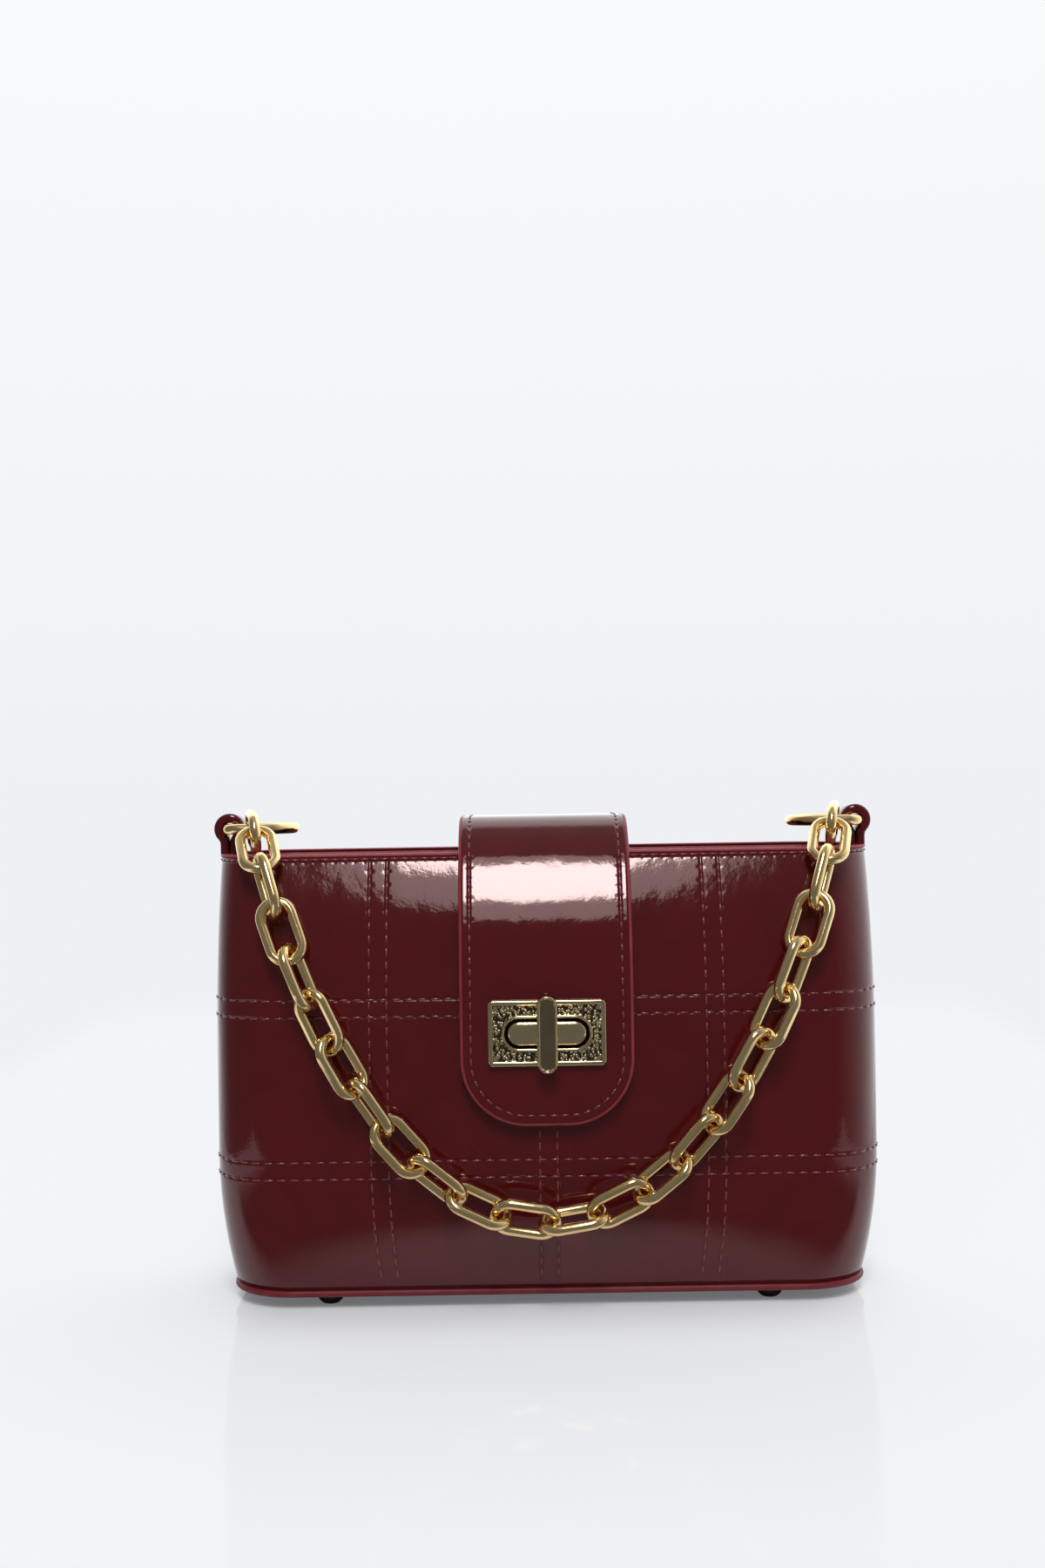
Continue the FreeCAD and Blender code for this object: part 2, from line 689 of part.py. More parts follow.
def make_lock():
    """Turn-lock: slotted plate on the flap, boss on the front panel, bar on a shaft."""
    plate = new_body("lock_plate")
    sketch = rounded_rectangle(
        plate,
        "plate_outline",
        "XZ_Plane",
        s.plate_width / 2,
        s.plate_height / 2,
        s.plate_corner,
        flap_outer,
        lock_height,
    )
    pad(plate, "plate_pad", sketch, s.plate_thickness)
    wide = s.slot_width + s.slot_rim * 2
    tall = s.slot_height + s.slot_rim * 2
    sketch = stadium(plate, "slot_wall", "XZ_Plane", wide, tall, plate_front, lock_height)
    pad(plate, "slot_wall_pad", sketch, s.slot_rim_rise)
    slot = stadium(plate, "slot", "XZ_Plane", s.slot_width, s.slot_height, flap_outer, lock_height)
    pocket_both_ways(plate, "slot_cut", slot, flap_outer)
    drill_for_rivets(plate)

    back_plate = new_body("lock_back_plate")
    sketch = rounded_rectangle(
        back_plate,
        "back_plate_outline",
        "XZ_Plane",
        s.plate_width / 2,
        s.plate_height / 2,
        s.plate_corner,
        flap_inner - s.back_plate_thickness,
        lock_height,
    )
    pad(back_plate, "back_plate_pad", sketch, s.back_plate_thickness)
    slot = stadium(back_plate, "back_slot", "XZ_Plane", wide, tall, flap_inner, lock_height)
    pocket_both_ways(back_plate, "back_slot_cut", slot, flap_outer)
    drill_for_rivets(back_plate)

    rivets = new_body("lock_rivets")
    behind = flap_inner - s.back_plate_thickness
    sketch = circles(rivets, "rivets", "XZ_Plane", rivet_places(), s.rivet_radius, behind)
    pad(rivets, "rivet_pad", sketch, plate_front - behind)

    boss = new_body("lock_boss")
    boss_back = s.belly_half_depth + s.flange_seat
    margin = s.flange_margin * 2
    sketch = stadium(
        boss,
        "boss_foot",
        "XZ_Plane",
        s.boss_width + margin,
        s.boss_height + margin,
        boss_back,
        lock_height,
    )
    pad(boss, "boss_foot_pad", sketch, s.flange_thickness)
    sketch = stadium(boss, "boss_oval", "XZ_Plane", s.boss_width, s.boss_height, boss_back, lock_height)
    pad(boss, "boss_oval_pad", sketch, boss_front - boss_back)
    hole = round_hole(boss, "boss_hole", s.shaft_radius + s.lock_clearance, lock_height)
    pocket_both_ways(boss, "boss_hole_cut", hole, boss_front * 2)

    knob = new_body("lock_knob")
    sketch = stadium(
        knob, "bar", "XZ_Plane", s.knob_length, s.knob_width, knob_back, lock_height, upright=True
    )
    pad(knob, "bar_pad", sketch, s.knob_thickness)
    inside = s.belly_half_depth - s.wall - s.clip_thickness - s.lock_clearance
    axis = [(ZERO, lock_height)]
    sketch = circles(knob, "shaft", "XZ_Plane", axis, s.shaft_radius, inside)
    pad(knob, "shaft_pad", sketch, knob_back - inside)

    clip = new_body("lock_clip")
    sketch = circles(clip, "clip", "XZ_Plane", axis, s.clip_radius, inside)
    pad(clip, "clip_pad", sketch, s.clip_thickness)
    hole = round_hole(clip, "clip_hole", s.shaft_radius, lock_height)
    pocket_both_ways(clip, "clip_hole_cut", hole, s.belly_half_depth * 2)


def make_hanger(label, side):
    """Leather strip folded into a loop, standing on the mouth edge at a side seam."""
    body = new_body(label)
    x = loop_x * side
    half = s.loop_width / 2
    inner = half - s.loop_leather
    low = s.rim_height
    corners = [(x + half, low), (x + half, ring_height), (x - half, ring_height), (x - half, low)]
    arcs = {1: (half, 1)}
    sketch = profile(body, f"{label}_outline", "XZ_Plane", corners, arcs, -hanger_y)
    pad(body, f"{label}_strip", sketch, s.loop_depth, symmetric=True)
    corners = [
        (x + inner, low + s.loop_leather + inner),
        (x + inner, ring_height),
        (x - inner, ring_height),
        (x - inner, low + s.loop_leather + inner),
    ]
    arcs = {1: (inner, 1), 3: (inner, 1)}
    sketch = profile(body, f"{label}_hollow", "XZ_Plane", corners, arcs, -hanger_y)
    pocket_both_ways(body, f"{label}_hollow_cut", sketch, s.loop_depth * 3)


def make_ring(label, side):
    """D-shaped ring: a bar in the loop, two arms towards the middle and a round far end."""
    body = new_body(label)
    x = loop_x * side
    gauge = s.ring_half_gauge
    corner = s.ring_corner
    arm_end = (loop_x - s.ring_length + gauge) * side
    spine = new_sketch(body, f"{label}_spine", "XY_Plane", ring_height)
    bind(spine, "AttachmentOffset.Base.y", hanger_y)
    corners = [
        (x, ZERO),
        (x, gauge - corner),
        (x - corner * side, gauge),
        (arm_end, gauge),
        (arm_end, -gauge),
        (x - corner * side, -gauge),
        (x, corner - gauge),
    ]
    draw(spine, corners, {1: (corner, side), 3: (gauge, side), 5: (corner, side)})
    wire = [(x, ring_height)]
    section = circles(body, f"{label}_section", "XZ_Plane", wire, s.ring_wire / 2, -hanger_y)
    pipe = body.newObject("PartDesign::AdditivePipe", f"{label}_wire")
    pipe.Profile = section
    pipe.Spine = (spine, [f"Edge{number}" for number in range(1, len(corners) + 1)])


# The chain: two links on each side bridge from the ring over the mouth, the rest hang in front.
link_seat = (s.link_wire + s.link_gap) / 2
first_step = s.link_pitch + link_seat - (s.link_wire + s.ring_wire) / 2 - s.ring_link_gap
bridge_chord = (first_step + s.link_pitch) * BRIDGE_TAUTNESS
arm_x = loop_x - s.end_link_inset
hang_z = s.rim_height - s.hang_drop


def front_reach(height):
    """Distance of the hanging chain from the middle plane: clear of the wall behind it."""
    return wall_face(height, hang_reach)


hang_half_span = arm_x - s.bridge_run
bridge_z = ring_height - hang_z
bridge_y = root(bridge_chord * bridge_chord - s.bridge_run * s.bridge_run - bridge_z * bridge_z)
hanger_y = s.ring_half_gauge + bridge_y - front_reach(hang_z)


def hang_place(x, curve):
    """Point of the hanging chain at x, on a catenary with the given curve parameter."""
    span = hang_half_span.value
    z = hang_z.value - curve * (math.cosh(span / curve) - math.cosh(x / curve))
    return FreeCAD.Vector(x, -front_reach(as_size(max(z, shoulder_height.value))).value, z)


def halved(low, high, is_low):
    """Value between low and high where is_low stops being true."""
    for _ in range(60):
        middle = (low + high) / 2
        low, high = (middle, high) if is_low(middle) else (low, middle)
    return (low + high) / 2


def hang_walk(curve):
    """Joints of the hanging links of one side, each one pitch from the last."""
    pitch = s.link_pitch.value
    walk = [hang_place(hang_half_span.value, curve)]
    for _ in range(LINKS_PER_SIDE - 2):
        last = walk[-1]
        step = halved(0, pitch, lambda d: (hang_place(last.x - d, curve) - last).Length < pitch)
        walk.append(hang_place(last.x - step, curve))
    return walk


def side_joints():
    """Joints of the right half of the chain, from the ring's arm to the middle."""
    span = hang_half_span.value
    curve = halved(span / 4, span * 2, lambda c: hang_walk(c)[-1].x > 0)
    walk = hang_walk(curve)
    arm_y = hanger_y.value - s.ring_half_gauge.value
    arm = FreeCAD.Vector(arm_x.value, arm_y, ring_height.value)
    chord = walk[0] - arm
    along = chord / chord.Length
    first, second = first_step.value, s.link_pitch.value
    share = (first**2 - second**2 + chord.Length**2) / (2 * chord.Length)
    lift = BRIDGE_LIFT - along * BRIDGE_LIFT.dot(along)
    knee = arm + along * share + lift.normalize() * math.sqrt(first**2 - share**2)
    return [arm, knee] + walk


def make_chain():
    """One link shape, placed once for each link."""
    wire = s.link_wire / 2
    straight = s.link_pitch + link_seat * 2 - link_end_radius * 2
    pieces = []
    for side, turn in ((-1, 90), (1, -90)):
        crown = part_object(
            "Part::Torus", f"link_crown_{turn + 90}", Radius1=link_end_radius, Radius2=wire
        )
        crown.Angle3 = 180
        crown.Placement.Rotation = FreeCAD.Rotation(FreeCAD.Vector(0, 0, 1), turn)
        bind(crown, "Placement.Base.x", straight * side / 2)
        bar = part_object("Part::Cylinder", f"link_bar_{turn + 90}", Radius=wire, Height=straight)
        bar.Placement.Rotation = FreeCAD.Rotation(FreeCAD.Vector(0, 1, 0), 90)
        bind(bar, "Placement.Base.x", -straight / 2)
        bind(bar, "Placement.Base.y", link_end_radius * side)
        pieces += [crown, bar]
    link = fused("link_shape", pieces)
    right = side_joints()
    left = [FreeCAD.Vector(-p.x, p.y, p.z) for p in right]
    joints = left + right[-2::-1]
    half = (s.link_pitch.value + link_seat.value * 2) / 2
    for number, roll in enumerate(LINK_ROLLS):
        start, end = joints[number], joints[number + 1]
        along = (end - start).normalize()
        on_bridge = min(number, len(LINK_ROLLS) - 1 - number) < 3
        facing = BRIDGE_LIFT if on_bridge else FreeCAD.Vector(0, -1, 0)
        flat = facing.cross(along).normalize()
        across = FreeCAD.Rotation(along, roll).multVec(flat)
        if number == len(LINK_ROLLS) - 1:
            centre = start + along * (half - link_seat.value)
        else:
            centre = end - along * (half - link_seat.value)
        copy = doc.addObject("Part::Compound", f"chain_link_{number + 1:02d}")
        copy.Label = f"chain_link_{number + 1:02d}"
        copy.Links = [link]
        turn = FreeCAD.Rotation(along, across, along.cross(across), "XYZ")
        copy.Placement = FreeCAD.Placement(centre + FreeCAD.Vector(0, bag_y.value, 0), turn)
        sub_parts.append(copy)


make_panel("front_panel", -1)
make_panel("back_panel", 1)
make_base()
make_lining()
make_feet()
make_flap_layer("flap", s.flap_backing, flap_thickness)
make_flap_layer("flap_lining", ZERO, s.flap_backing)
make_flap_tail()
make_lock()
for name, side in (("left", -1), ("right", 1)):
    make_hanger(f"{name}_hanger", side)
    make_ring(f"{name}_ring", side)
make_chain()
doc.recompute()

for thing in doc.Objects:
    if "Invalid" in thing.State or "Error" in thing.State:
        raise RuntimeError(f"{thing.Label} did not recompute")
os.makedirs("parts", exist_ok=True)
for thing in sub_parts:
    if thing.Shape.isNull() or not thing.Shape.isValid():
        raise RuntimeError(f"{thing.Label} has no valid shape")
    thing.Shape.exportStep(f"parts/{thing.Label}.step")
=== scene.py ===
import math
import bpy
import numpy as np
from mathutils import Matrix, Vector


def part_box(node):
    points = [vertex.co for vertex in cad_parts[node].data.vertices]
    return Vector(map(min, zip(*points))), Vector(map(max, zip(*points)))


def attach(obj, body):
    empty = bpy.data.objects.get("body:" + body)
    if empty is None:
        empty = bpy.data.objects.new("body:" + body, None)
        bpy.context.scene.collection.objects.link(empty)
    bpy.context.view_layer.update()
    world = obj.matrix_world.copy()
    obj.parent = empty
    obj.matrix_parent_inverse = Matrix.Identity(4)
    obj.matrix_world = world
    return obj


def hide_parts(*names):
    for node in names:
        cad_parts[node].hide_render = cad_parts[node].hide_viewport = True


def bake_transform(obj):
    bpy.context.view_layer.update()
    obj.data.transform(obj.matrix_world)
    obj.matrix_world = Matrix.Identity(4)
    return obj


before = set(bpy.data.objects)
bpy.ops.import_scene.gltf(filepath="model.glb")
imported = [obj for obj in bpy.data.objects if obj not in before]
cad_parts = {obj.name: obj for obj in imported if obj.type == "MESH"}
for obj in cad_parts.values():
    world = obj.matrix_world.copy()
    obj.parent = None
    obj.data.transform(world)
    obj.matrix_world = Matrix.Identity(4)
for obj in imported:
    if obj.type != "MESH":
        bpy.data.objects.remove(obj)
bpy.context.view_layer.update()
mm = 0.001  # one millimetre in metres
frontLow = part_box("front_panel")[0]
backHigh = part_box("back_panel")[1]
bagY = (frontLow.y + backHigh.y) / 2 * 1000  # middle plane of the bag, mm
print("frame loaded, middle plane at", round(bagY, 3), "mm")

# All shapes below are worked out in mm about the bag's middle plane and scaled to metres at the end.
wallShape = {
    "bellyWidth": 106.6, "bellyDepth": 41.0,
    "mouthWidth": 106.2, "mouthDepth": 28.8,
    "baseWidth": 102.6, "baseDepth": 32.0,
    "corner": 21.0, "wall": 2.4,
    "baseTop": 6.2, "bellyLow": 50.0, "shoulder": 88.0, "wallTop": 144.1, "mouthTop": 145.0,
}
insideBag = np.array([0.0, 0.0, 75.0])


# Quads between neighbouring points of a grid, going round where a direction is closed.
def gridFaces(rows, columns, closeRows=False, closeColumns=False):
    row, column = np.meshgrid(
        np.arange(rows if closeRows else rows - 1),
        np.arange(columns if closeColumns else columns - 1), indexing="ij")
    nextRow, nextColumn = (row + 1) % rows, (column + 1) % columns
    corners = [row * columns + column, row * columns + nextColumn,
               nextRow * columns + nextColumn, nextRow * columns + column]
    return np.stack(corners, -1).reshape(-1, 4)


# Triangles from one row of points to a middle point.
def fanFaces(ring, middle):
    return np.stack([ring, np.roll(ring, -1), np.full_like(ring, middle)], -1)


# Sum over faces of (corner - inside) . (edge x edge): positive when the faces look away from inside.
def looksOut(points, faces, inside):
    a, b, c = points[faces[:, 0]], points[faces[:, 1]], points[faces[:, 2]]
    return np.einsum("ij,ij->", a - inside, np.cross(b - a, c - a)) > 0


# Object from points in mm and lists of faces, turned outwards, with a pattern place for each point.
def meshPiece(name, points, faceLists, materials, inside=None, pattern=None, sharp=None):
    points = np.asarray(points, float).reshape(-1, 3)
    if inside is None:
        inside = points.mean(0)
    biggest = max(faceLists, key=len)
    if not looksOut(points, biggest, inside):
        faceLists = [faces[:, ::-1] for faces in faceLists]
    mesh = bpy.data.meshes.new(name)
    mesh.vertices.add(len(points))
    mesh.vertices.foreach_set("co", ((points + (0, bagY, 0)) * mm).ravel())
    corners = np.concatenate([faces.ravel() for faces in faceLists]).astype(np.int32)
    sizes = np.concatenate([np.full(len(faces), faces.shape[1]) for faces in faceLists])
    mesh.loops.add(len(corners))
    mesh.loops.foreach_set("vertex_index", corners)
    mesh.polygons.add(len(sizes))
    mesh.polygons.foreach_set("loop_start", (np.cumsum(sizes) - sizes).astype(np.int32))
    mesh.polygons.foreach_set("use_smooth", np.ones(len(sizes), bool))
    if pattern is not None:
        layer = mesh.attributes.new("sewn", "FLOAT_VECTOR", "POINT")
        layer.data.foreach_set("vector", np.asarray(pattern, np.float32).ravel())
    mesh.update(calc_edges=True)
    mesh.validate()
    if sharp:
        mesh.set_sharp_from_angle(angle=math.radians(sharp))
    for material in materials:
        mesh.materials.append(material)
    piece = bpy.data.objects.new(name, mesh)
    bpy.context.collection.objects.link(piece)
    return piece


# Gives a sheet its thickness, inwards from the modelled face.
def thicken(piece, thickness, rimMaterial=0, innerMaterial=0):
    solid = piece.modifiers.new("thickness", "SOLIDIFY")
    solid.thickness = thickness * mm
    solid.offset = -1
    solid.use_even_offset = True
    solid.material_offset_rim = rimMaterial
    solid.material_offset = innerMaterial


# Second material on the faces whose middle height, in metres, passes a test.
def paintFaces(piece, test):
    centres = np.zeros(len(piece.data.polygons) * 3)
    piece.data.polygons.foreach_get("center", centres)
    chosen = test(centres.reshape(-1, 3)[:, 2])
    piece.data.polygons.foreach_set("material_index", chosen.astype(np.int32))


# Profile (across, up) carried along a path: path point + across * side + up * rise.
def carried(path, side, rise, profile):
    return path[:, None] + profile[None, :, :1] * side[:, None] + profile[None, :, 1:] * rise[:, None]


# Each vector divided by its length.
def unit(vectors):
    return vectors / np.linalg.norm(vectors, axis=-1, keepdims=True)


# Points of a circle at the given angles.
def arc(radius, turn):
    return radius * np.column_stack([np.cos(turn), np.sin(turn)])


# Round section of a wire: a circle at even angles.
def wireSection(shape):
    return arc(shape["wire"] / 2, np.arange(shape["around"]) * 2 * math.pi / shape["around"])


# Length along a line of points, from 0 at the first.
def runLength(points):
    return np.concatenate([[0], np.cumsum(np.linalg.norm(np.diff(points, axis=0), axis=1))])


# Rectangle with quarter-circle corners: four arcs one after the other, anticlockwise from +x.
def roundOutline(halfX, halfY, radius, perCorner=8):
    turn = np.linspace(0, math.pi / 2, perCorner)
    quarter = np.arange(4)[:, None] * math.pi / 2 + turn
    signX = np.array([1, -1, -1, 1])[:, None]
    signY = np.array([1, 1, -1, -1])[:, None]
    x = signX * (halfX - radius) + radius * np.cos(quarter)
    y = signY * (halfY - radius) + radius * np.sin(quarter)
    return np.stack([x, y], -1).reshape(-1, 2)


# Half width and half depth of the wall at a height: parabolas below the belly and above the shoulder.
def wallSize(z):
    w = wallShape
    low = np.clip((w["bellyLow"] - z) / (w["bellyLow"] - w["baseTop"]), 0, None) ** 2
    high = np.clip((z - w["shoulder"]) / (w["mouthTop"] - w["shoulder"]), 0, None) ** 2

    def size(way):
        belly = w["belly" + way]
        return belly - (belly - w["base" + way]) * low - (belly - w["mouth" + way]) * high

    return size("Width"), size("Depth")


straightRun = wallShape["bellyWidth"] - wallShape["corner"]
cornerRun = wallShape["corner"] * math.pi / 2
sideRun = wallShape["bellyDepth"] - wallShape["corner"]
halfRun = straightRun + cornerRun + sideRun


# Point of the wall at s along the outline from the middle of the front and height z, pushed inwards
# by inset: a straight run, a quarter circle, then a straight run to the side seam.
def wallPoint(s, z, facing=-1, inset=0.0):
    width, depth = wallSize(z)
    width, depth = width - inset, depth - inset
    r = wallShape["corner"] - inset
    along = np.abs(s)
    flat = np.clip(along / straightRun, 0, 1)
    turn = np.clip((along - straightRun) / wallShape["corner"], 0, math.pi / 2)
    side = np.clip((along - straightRun - cornerRun) / sideRun, 0, 1)
    x = flat * (width - r) + r * np.sin(turn)
    y = (depth - r) * (1 - side) + r * np.cos(turn)
    return np.stack(np.broadcast_arrays(np.sign(s) * x, facing * y, z), -1)


# Slope of a surface function by small steps: tangent along s, tangent along z and outward normal.
def surfaceFrame(surface, s, z, step=0.05):
    alongS = unit(surface(s + step, z) - surface(s - step, z))
    alongZ = unit(surface(s, z + step) - surface(s, z - step))
    normal = unit(np.cross(alongS, alongZ))
    return alongS, alongZ, normal


# Wraps a shader socket: sums and products of wrapped sockets add Math nodes.
class Wire:
    def __init__(self, tree, socket=None):
        self.tree = tree
        self.socket = socket

    # Any node: its type, its settings, then the values or links of its sockets.
    def node(self, kind, settings=None, sockets=None, out=0):
        made = self.tree.nodes.new(kind)
        for key, value in (settings or {}).items():
            setattr(made, key, value)
        for key, value in (sockets or {}).items():
            if isinstance(value, Wire):
                self.tree.links.new(value.socket, made.inputs[key])
            else:
                made.inputs[key].default_value = value
        return Wire(self.tree, made.outputs[out] if made.outputs else None)

    # Math node with this wire as its first value.
    def math(self, operation, *others):
        values = dict(enumerate((self,) + others))
        return self.node("ShaderNodeMath", {"operation": operation}, values)

    def __add__(self, other): return self.math("ADD", other)
    def __mul__(self, other): return self.math("MULTIPLY", other)
    def __sub__(self, other): return self.math("SUBTRACT", other)
    def __rsub__(self, other): return self * -1 + other
    def __truediv__(self, other): return self.math("DIVIDE", other)
    def __abs__(self): return self.math("ABSOLUTE")
    __radd__, __rmul__ = __add__, __mul__

    # Smooth step from bottom at low to top at high.
    def rise(self, low, high, bottom=0.0, top=1.0):
        return self.node("ShaderNodeMapRange", {"interpolation_type": "SMOOTHSTEP"},
                         {0: self, 1: low, 2: high, 3: bottom, 4: top})

    # Smooth step down from 1 at zero to 0 at width, on both sides.
    def near(self, width):
        return abs(self).rise(0.0, width, 1.0, 0.0)

    # Cosine with the given wavelength.
    def wave(self, length):
        return (self * (2 * math.pi / length)).math("COSINE")

    # Root of the sum of two squares.
    def hypot(self, other):
        return (self * self + other * other).math("SQRT")

    # Value from 0 to 1 stretched to a width about a middle.
    def about(self, middle, width):
        return self * width + (middle - width / 2)

    # Smooth random value between 0 and 1 at a scale, with this wire as its coordinates.
    def noise(self, scale, detail=2.0, rough=0.5):
        return self.node("ShaderNodeTexNoise", None,
                         {"Vector": self, "Scale": scale, "Detail": detail, "Roughness": rough})

    # Sum of noises, each given by its scale, detail and height in mm.
    def relief(self, layers):
        return sum(self.noise(scale, detail) * height for scale, detail, height in layers)

    # Colour between low and high by this value.
    def blendColor(self, low, high):
        return self.node("ShaderNodeMix", {"data_type": "RGBA"}, {0: self, 6: low, 7: high}, 2)

    # Parts of a vector along x, y and z.
    def parts(self):
        return [self.node("ShaderNodeSeparateXYZ", None, {0: self}, axis) for axis in range(3)]


# Material with an empty tree, a wire to start from and the object coordinates in metres.
def newFinish(name):
    material = bpy.data.materials.new(name)
    material.use_nodes = True
    material.node_tree.nodes.clear()
    start = Wire(material.node_tree)
    return material, start, start.node("ShaderNodeTexCoord", out="Object")


# Place in the piece's own pattern, as three values.
def sewnPlace(start):
    return start.node("ShaderNodeAttribute", {"attribute_name": "sewn"}, out="Vector").parts()


# Principled surface; height is a relief in mm.
def setSurface(start, sockets, height):
    sockets["Normal"] = start.node("ShaderNodeBump", None, {"Strength": 1.0, "Distance": mm, "Height": height})
    shader = start.node("ShaderNodeBsdfPrincipled", None, sockets)
    start.node("ShaderNodeOutputMaterial", None, {"Surface": shader})


leatherLook = {
    "deep": (0.057, 0.0030, 0.0045, 1), "bright": (0.082, 0.0048, 0.0070, 1), "cloud": (90.0, 3.0),
    "roughness": 0.07, "unevenness": 0.05, "smear": (220.0, 3.0),
    "film": 1.55, "filmTint": (1.0, 0.79, 0.77, 1),
    "relief": ((1400.0, 2.0, 0.008), (15.0, 1.0, 0.32), (38.0, 1.0, 0.13), (115.0, 3.0, 0.10)),
    "groove": (0.9, 0.17), "pucker": (2.0, 0.05, 3.0), "stitchPitch": 4.1,
}


# Patent leather: dark red under a clear film. The relief adds orange peel, swells, ripples and wrinkles
# to that of the seams, seams(start).
def patentLeather(name, seams=None):
    look = leatherLook
    material, start, place = newFinish(name)
    height = place.relief(look["relief"])
    if seams:
        height = height + seams(start)
    color = place.noise(*look["cloud"]).blendColor(look["deep"], look["bright"])
    roughness = place.noise(*look["smear"]).about(look["roughness"], look["unevenness"])
    setSurface(start, {"Base Color": color, "Roughness": roughness, "IOR": look["film"],
                       "Specular Tint": look["filmTint"]}, height)
    return material


gridLines = {
    "upright": (2.75, 50.25, 55.75), "uprightSpan": (9.0, 141.5), "level": (96.8, 46.0), "levelHalfGap": 2.7,
    "mouth": 143.35, "mouthPitch": 3.2, "seamGap": 2.0,
}


# Relief of a sewn row: a narrow groove, and round dimples where the thread goes in.
def sewnRow(gap, along, pitch):
    (breadth, depth), (reach, dent, sharp) = leatherLook["groove"], leatherLook["pucker"]
    hole = (along.wave(pitch) * 0.5 + 0.5).math("POWER", sharp)
    return gap.near(breadth) * depth + gap.near(reach) * hole * dent


# Relief of the sewn grid: uprights, levels and the row under the mouth.
def gridSeams(start):
    s, z = sewnPlace(start)[:2]
    pitch = leatherLook["stitchPitch"]
    total = sewnRow(z - gridLines["mouth"], s, gridLines["mouthPitch"])
    for line in gridLines["upright"]:
        total = total + sewnRow(abs(s) - line, z, pitch)
    for line in gridLines["level"]:
        total = total + sewnRow(abs(z - line) - gridLines["levelHalfGap"], s, pitch)
    return total * -1


strapRow = {"inset": 2.7, "pitch": 3.5, "margin": 1.0, "reach": 0.3, "step": 0.25}


# Relief of the one row inside the strap's edge.
def strapSeams(start):
    along, edge = sewnPlace(start)[1:]
    return sewnRow(edge - strapRow["inset"], along, strapRow["pitch"]) * -1


# Plain finish: colour between two shades by one noise, roughness even or spread by another, and a relief.
def plainFinish(name, look):
    material, start, place = newFinish(name)
    color = place.noise(*look["cloud"]).blendColor(look["low"], look["high"])
    roughness = look["roughness"]
    if "smear" in look:
        roughness = place.noise(*look["smear"]).about(roughness, look["unevenness"])
    sockets = {"Base Color": color, "Roughness": roughness, **look["sockets"]}
    setSurface(start, sockets, place.relief(look["relief"]))
    return material


# Edge paint is a thick satin red with brush unevenness; round the base a darker copy of it is painted shade.
edgeLook = {
    "low": (0.18, 0.018, 0.025, 1), "high": (0.29, 0.040, 0.050, 1), "cloud": (160.0, 3.0),
    "roughness": 0.45, "unevenness": 0.2, "smear": (500.0, 2.0), "sockets": {"Specular IOR Level": 0.25},
    "relief": ((420.0, 2.0, 0.12), (1500.0, 1.0, 0.02)),
}
baseShadedLook = {**edgeLook, "low": (0.10, 0.009, 0.014, 1), "high": (0.17, 0.021, 0.028, 1)}
darkLook = {
    "low": (0.035, 0.025, 0.022, 1), "high": (0.09, 0.065, 0.05, 1), "cloud": (500.0, 3.0),
    "roughness": 0.32, "unevenness": 0.2, "smear": (700.0, 3.0), "sockets": {"Metallic": 0.8},
    "relief": ((900.0, 2.0, 0.02),),
}
boardLook = {
    "low": (0.10, 0.075, 0.05, 1), "high": (0.24, 0.18, 0.12, 1), "cloud": (900.0, 5.0, 0.7),
    "roughness": 0.8, "sockets": {}, "relief": ((1200.0, 4.0, 0.08),),
}
threadLook = {
    "low": (0.09, 0.011, 0.016, 1), "high": (0.20, 0.038, 0.046, 1), "cloud": (2500.0, 2.0),
    "roughness": 0.16, "sockets": {"IOR": 1.65}, "relief": ((2600.0, 2.0, 0.05),),
}
clothLook = {
    "dark": (0.030, 0.006, 0.008, 1), "light": (0.085, 0.020, 0.024, 1), "thread": 0.55, "fleck": 300.0,
    "weaveShare": 0.6, "weaveDepth": 0.06, "roughness": 0.85, "sheen": 0.2,
}


# Lining cloth: two sets of threads, high where the two waves have the same sign.
def liningCloth(name):
    look = clothLook
    material, start, place = newFinish(name)
    s, z = [part.wave(look["thread"] * 2) for part in sewnPlace(start)[:2]]
    weave = s * z * 0.5 + 0.5
    share = weave * look["weaveShare"] + place.noise(look["fleck"]) * (1 - look["weaveShare"])
    color = share.blendColor(look["dark"], look["light"])
    setSurface(start, {"Base Color": color, "Roughness": look["roughness"], "Sheen Weight": look["sheen"]},
               weave * look["weaveDepth"])
    return material


goldLook = {
    "warm": (0.90, 0.60, 0.22, 1), "pale": (0.97, 0.79, 0.46, 1), "cloud": 120.0,
    "roughness": 0.16, "unevenness": 0.1, "scratch": (900.0, 4.0, 0.7), "scratchDepth": 0.006,
    "relief": ((140.0, 1.0, 0.06), (420.0, 1.0, 0.035)),
}


# Polished gold plate: slight colour drift, fine scratches and soft dents.
def polishedGold(name):
    look = goldLook
    material, start, place = newFinish(name)
    color = place.noise(look["cloud"]).blendColor(look["warm"], look["pale"])
    scratch = place.noise(*look["scratch"])
    roughness = scratch.about(look["roughness"], look["unevenness"])
    setSurface(start, {"Base Color": color, "Metallic": 1.0, "Roughness": roughness},
               scratch * look["scratchDepth"] + place.relief(look["relief"]))
    return material


antiqueLook = {
    "bright": (0.87, 0.72, 0.45, 1), "worn": (0.66, 0.51, 0.27, 1), "dark": (0.035, 0.026, 0.016, 1),
    "cloud": (150.0, 3.0), "grain": (1500.0, 4.0, 0.6), "grainDepth": 0.02,
    "roughness": 0.15, "unevenness": 0.14, "topTint": 0.55,
    "pebbles": 1050.0, "disorder": 0.85, "pebbleGap": (0.28, 0.62), "gapTint": 0.9, "gapDepth": 0.16,
    "fieldRoughness": 0.08,
}


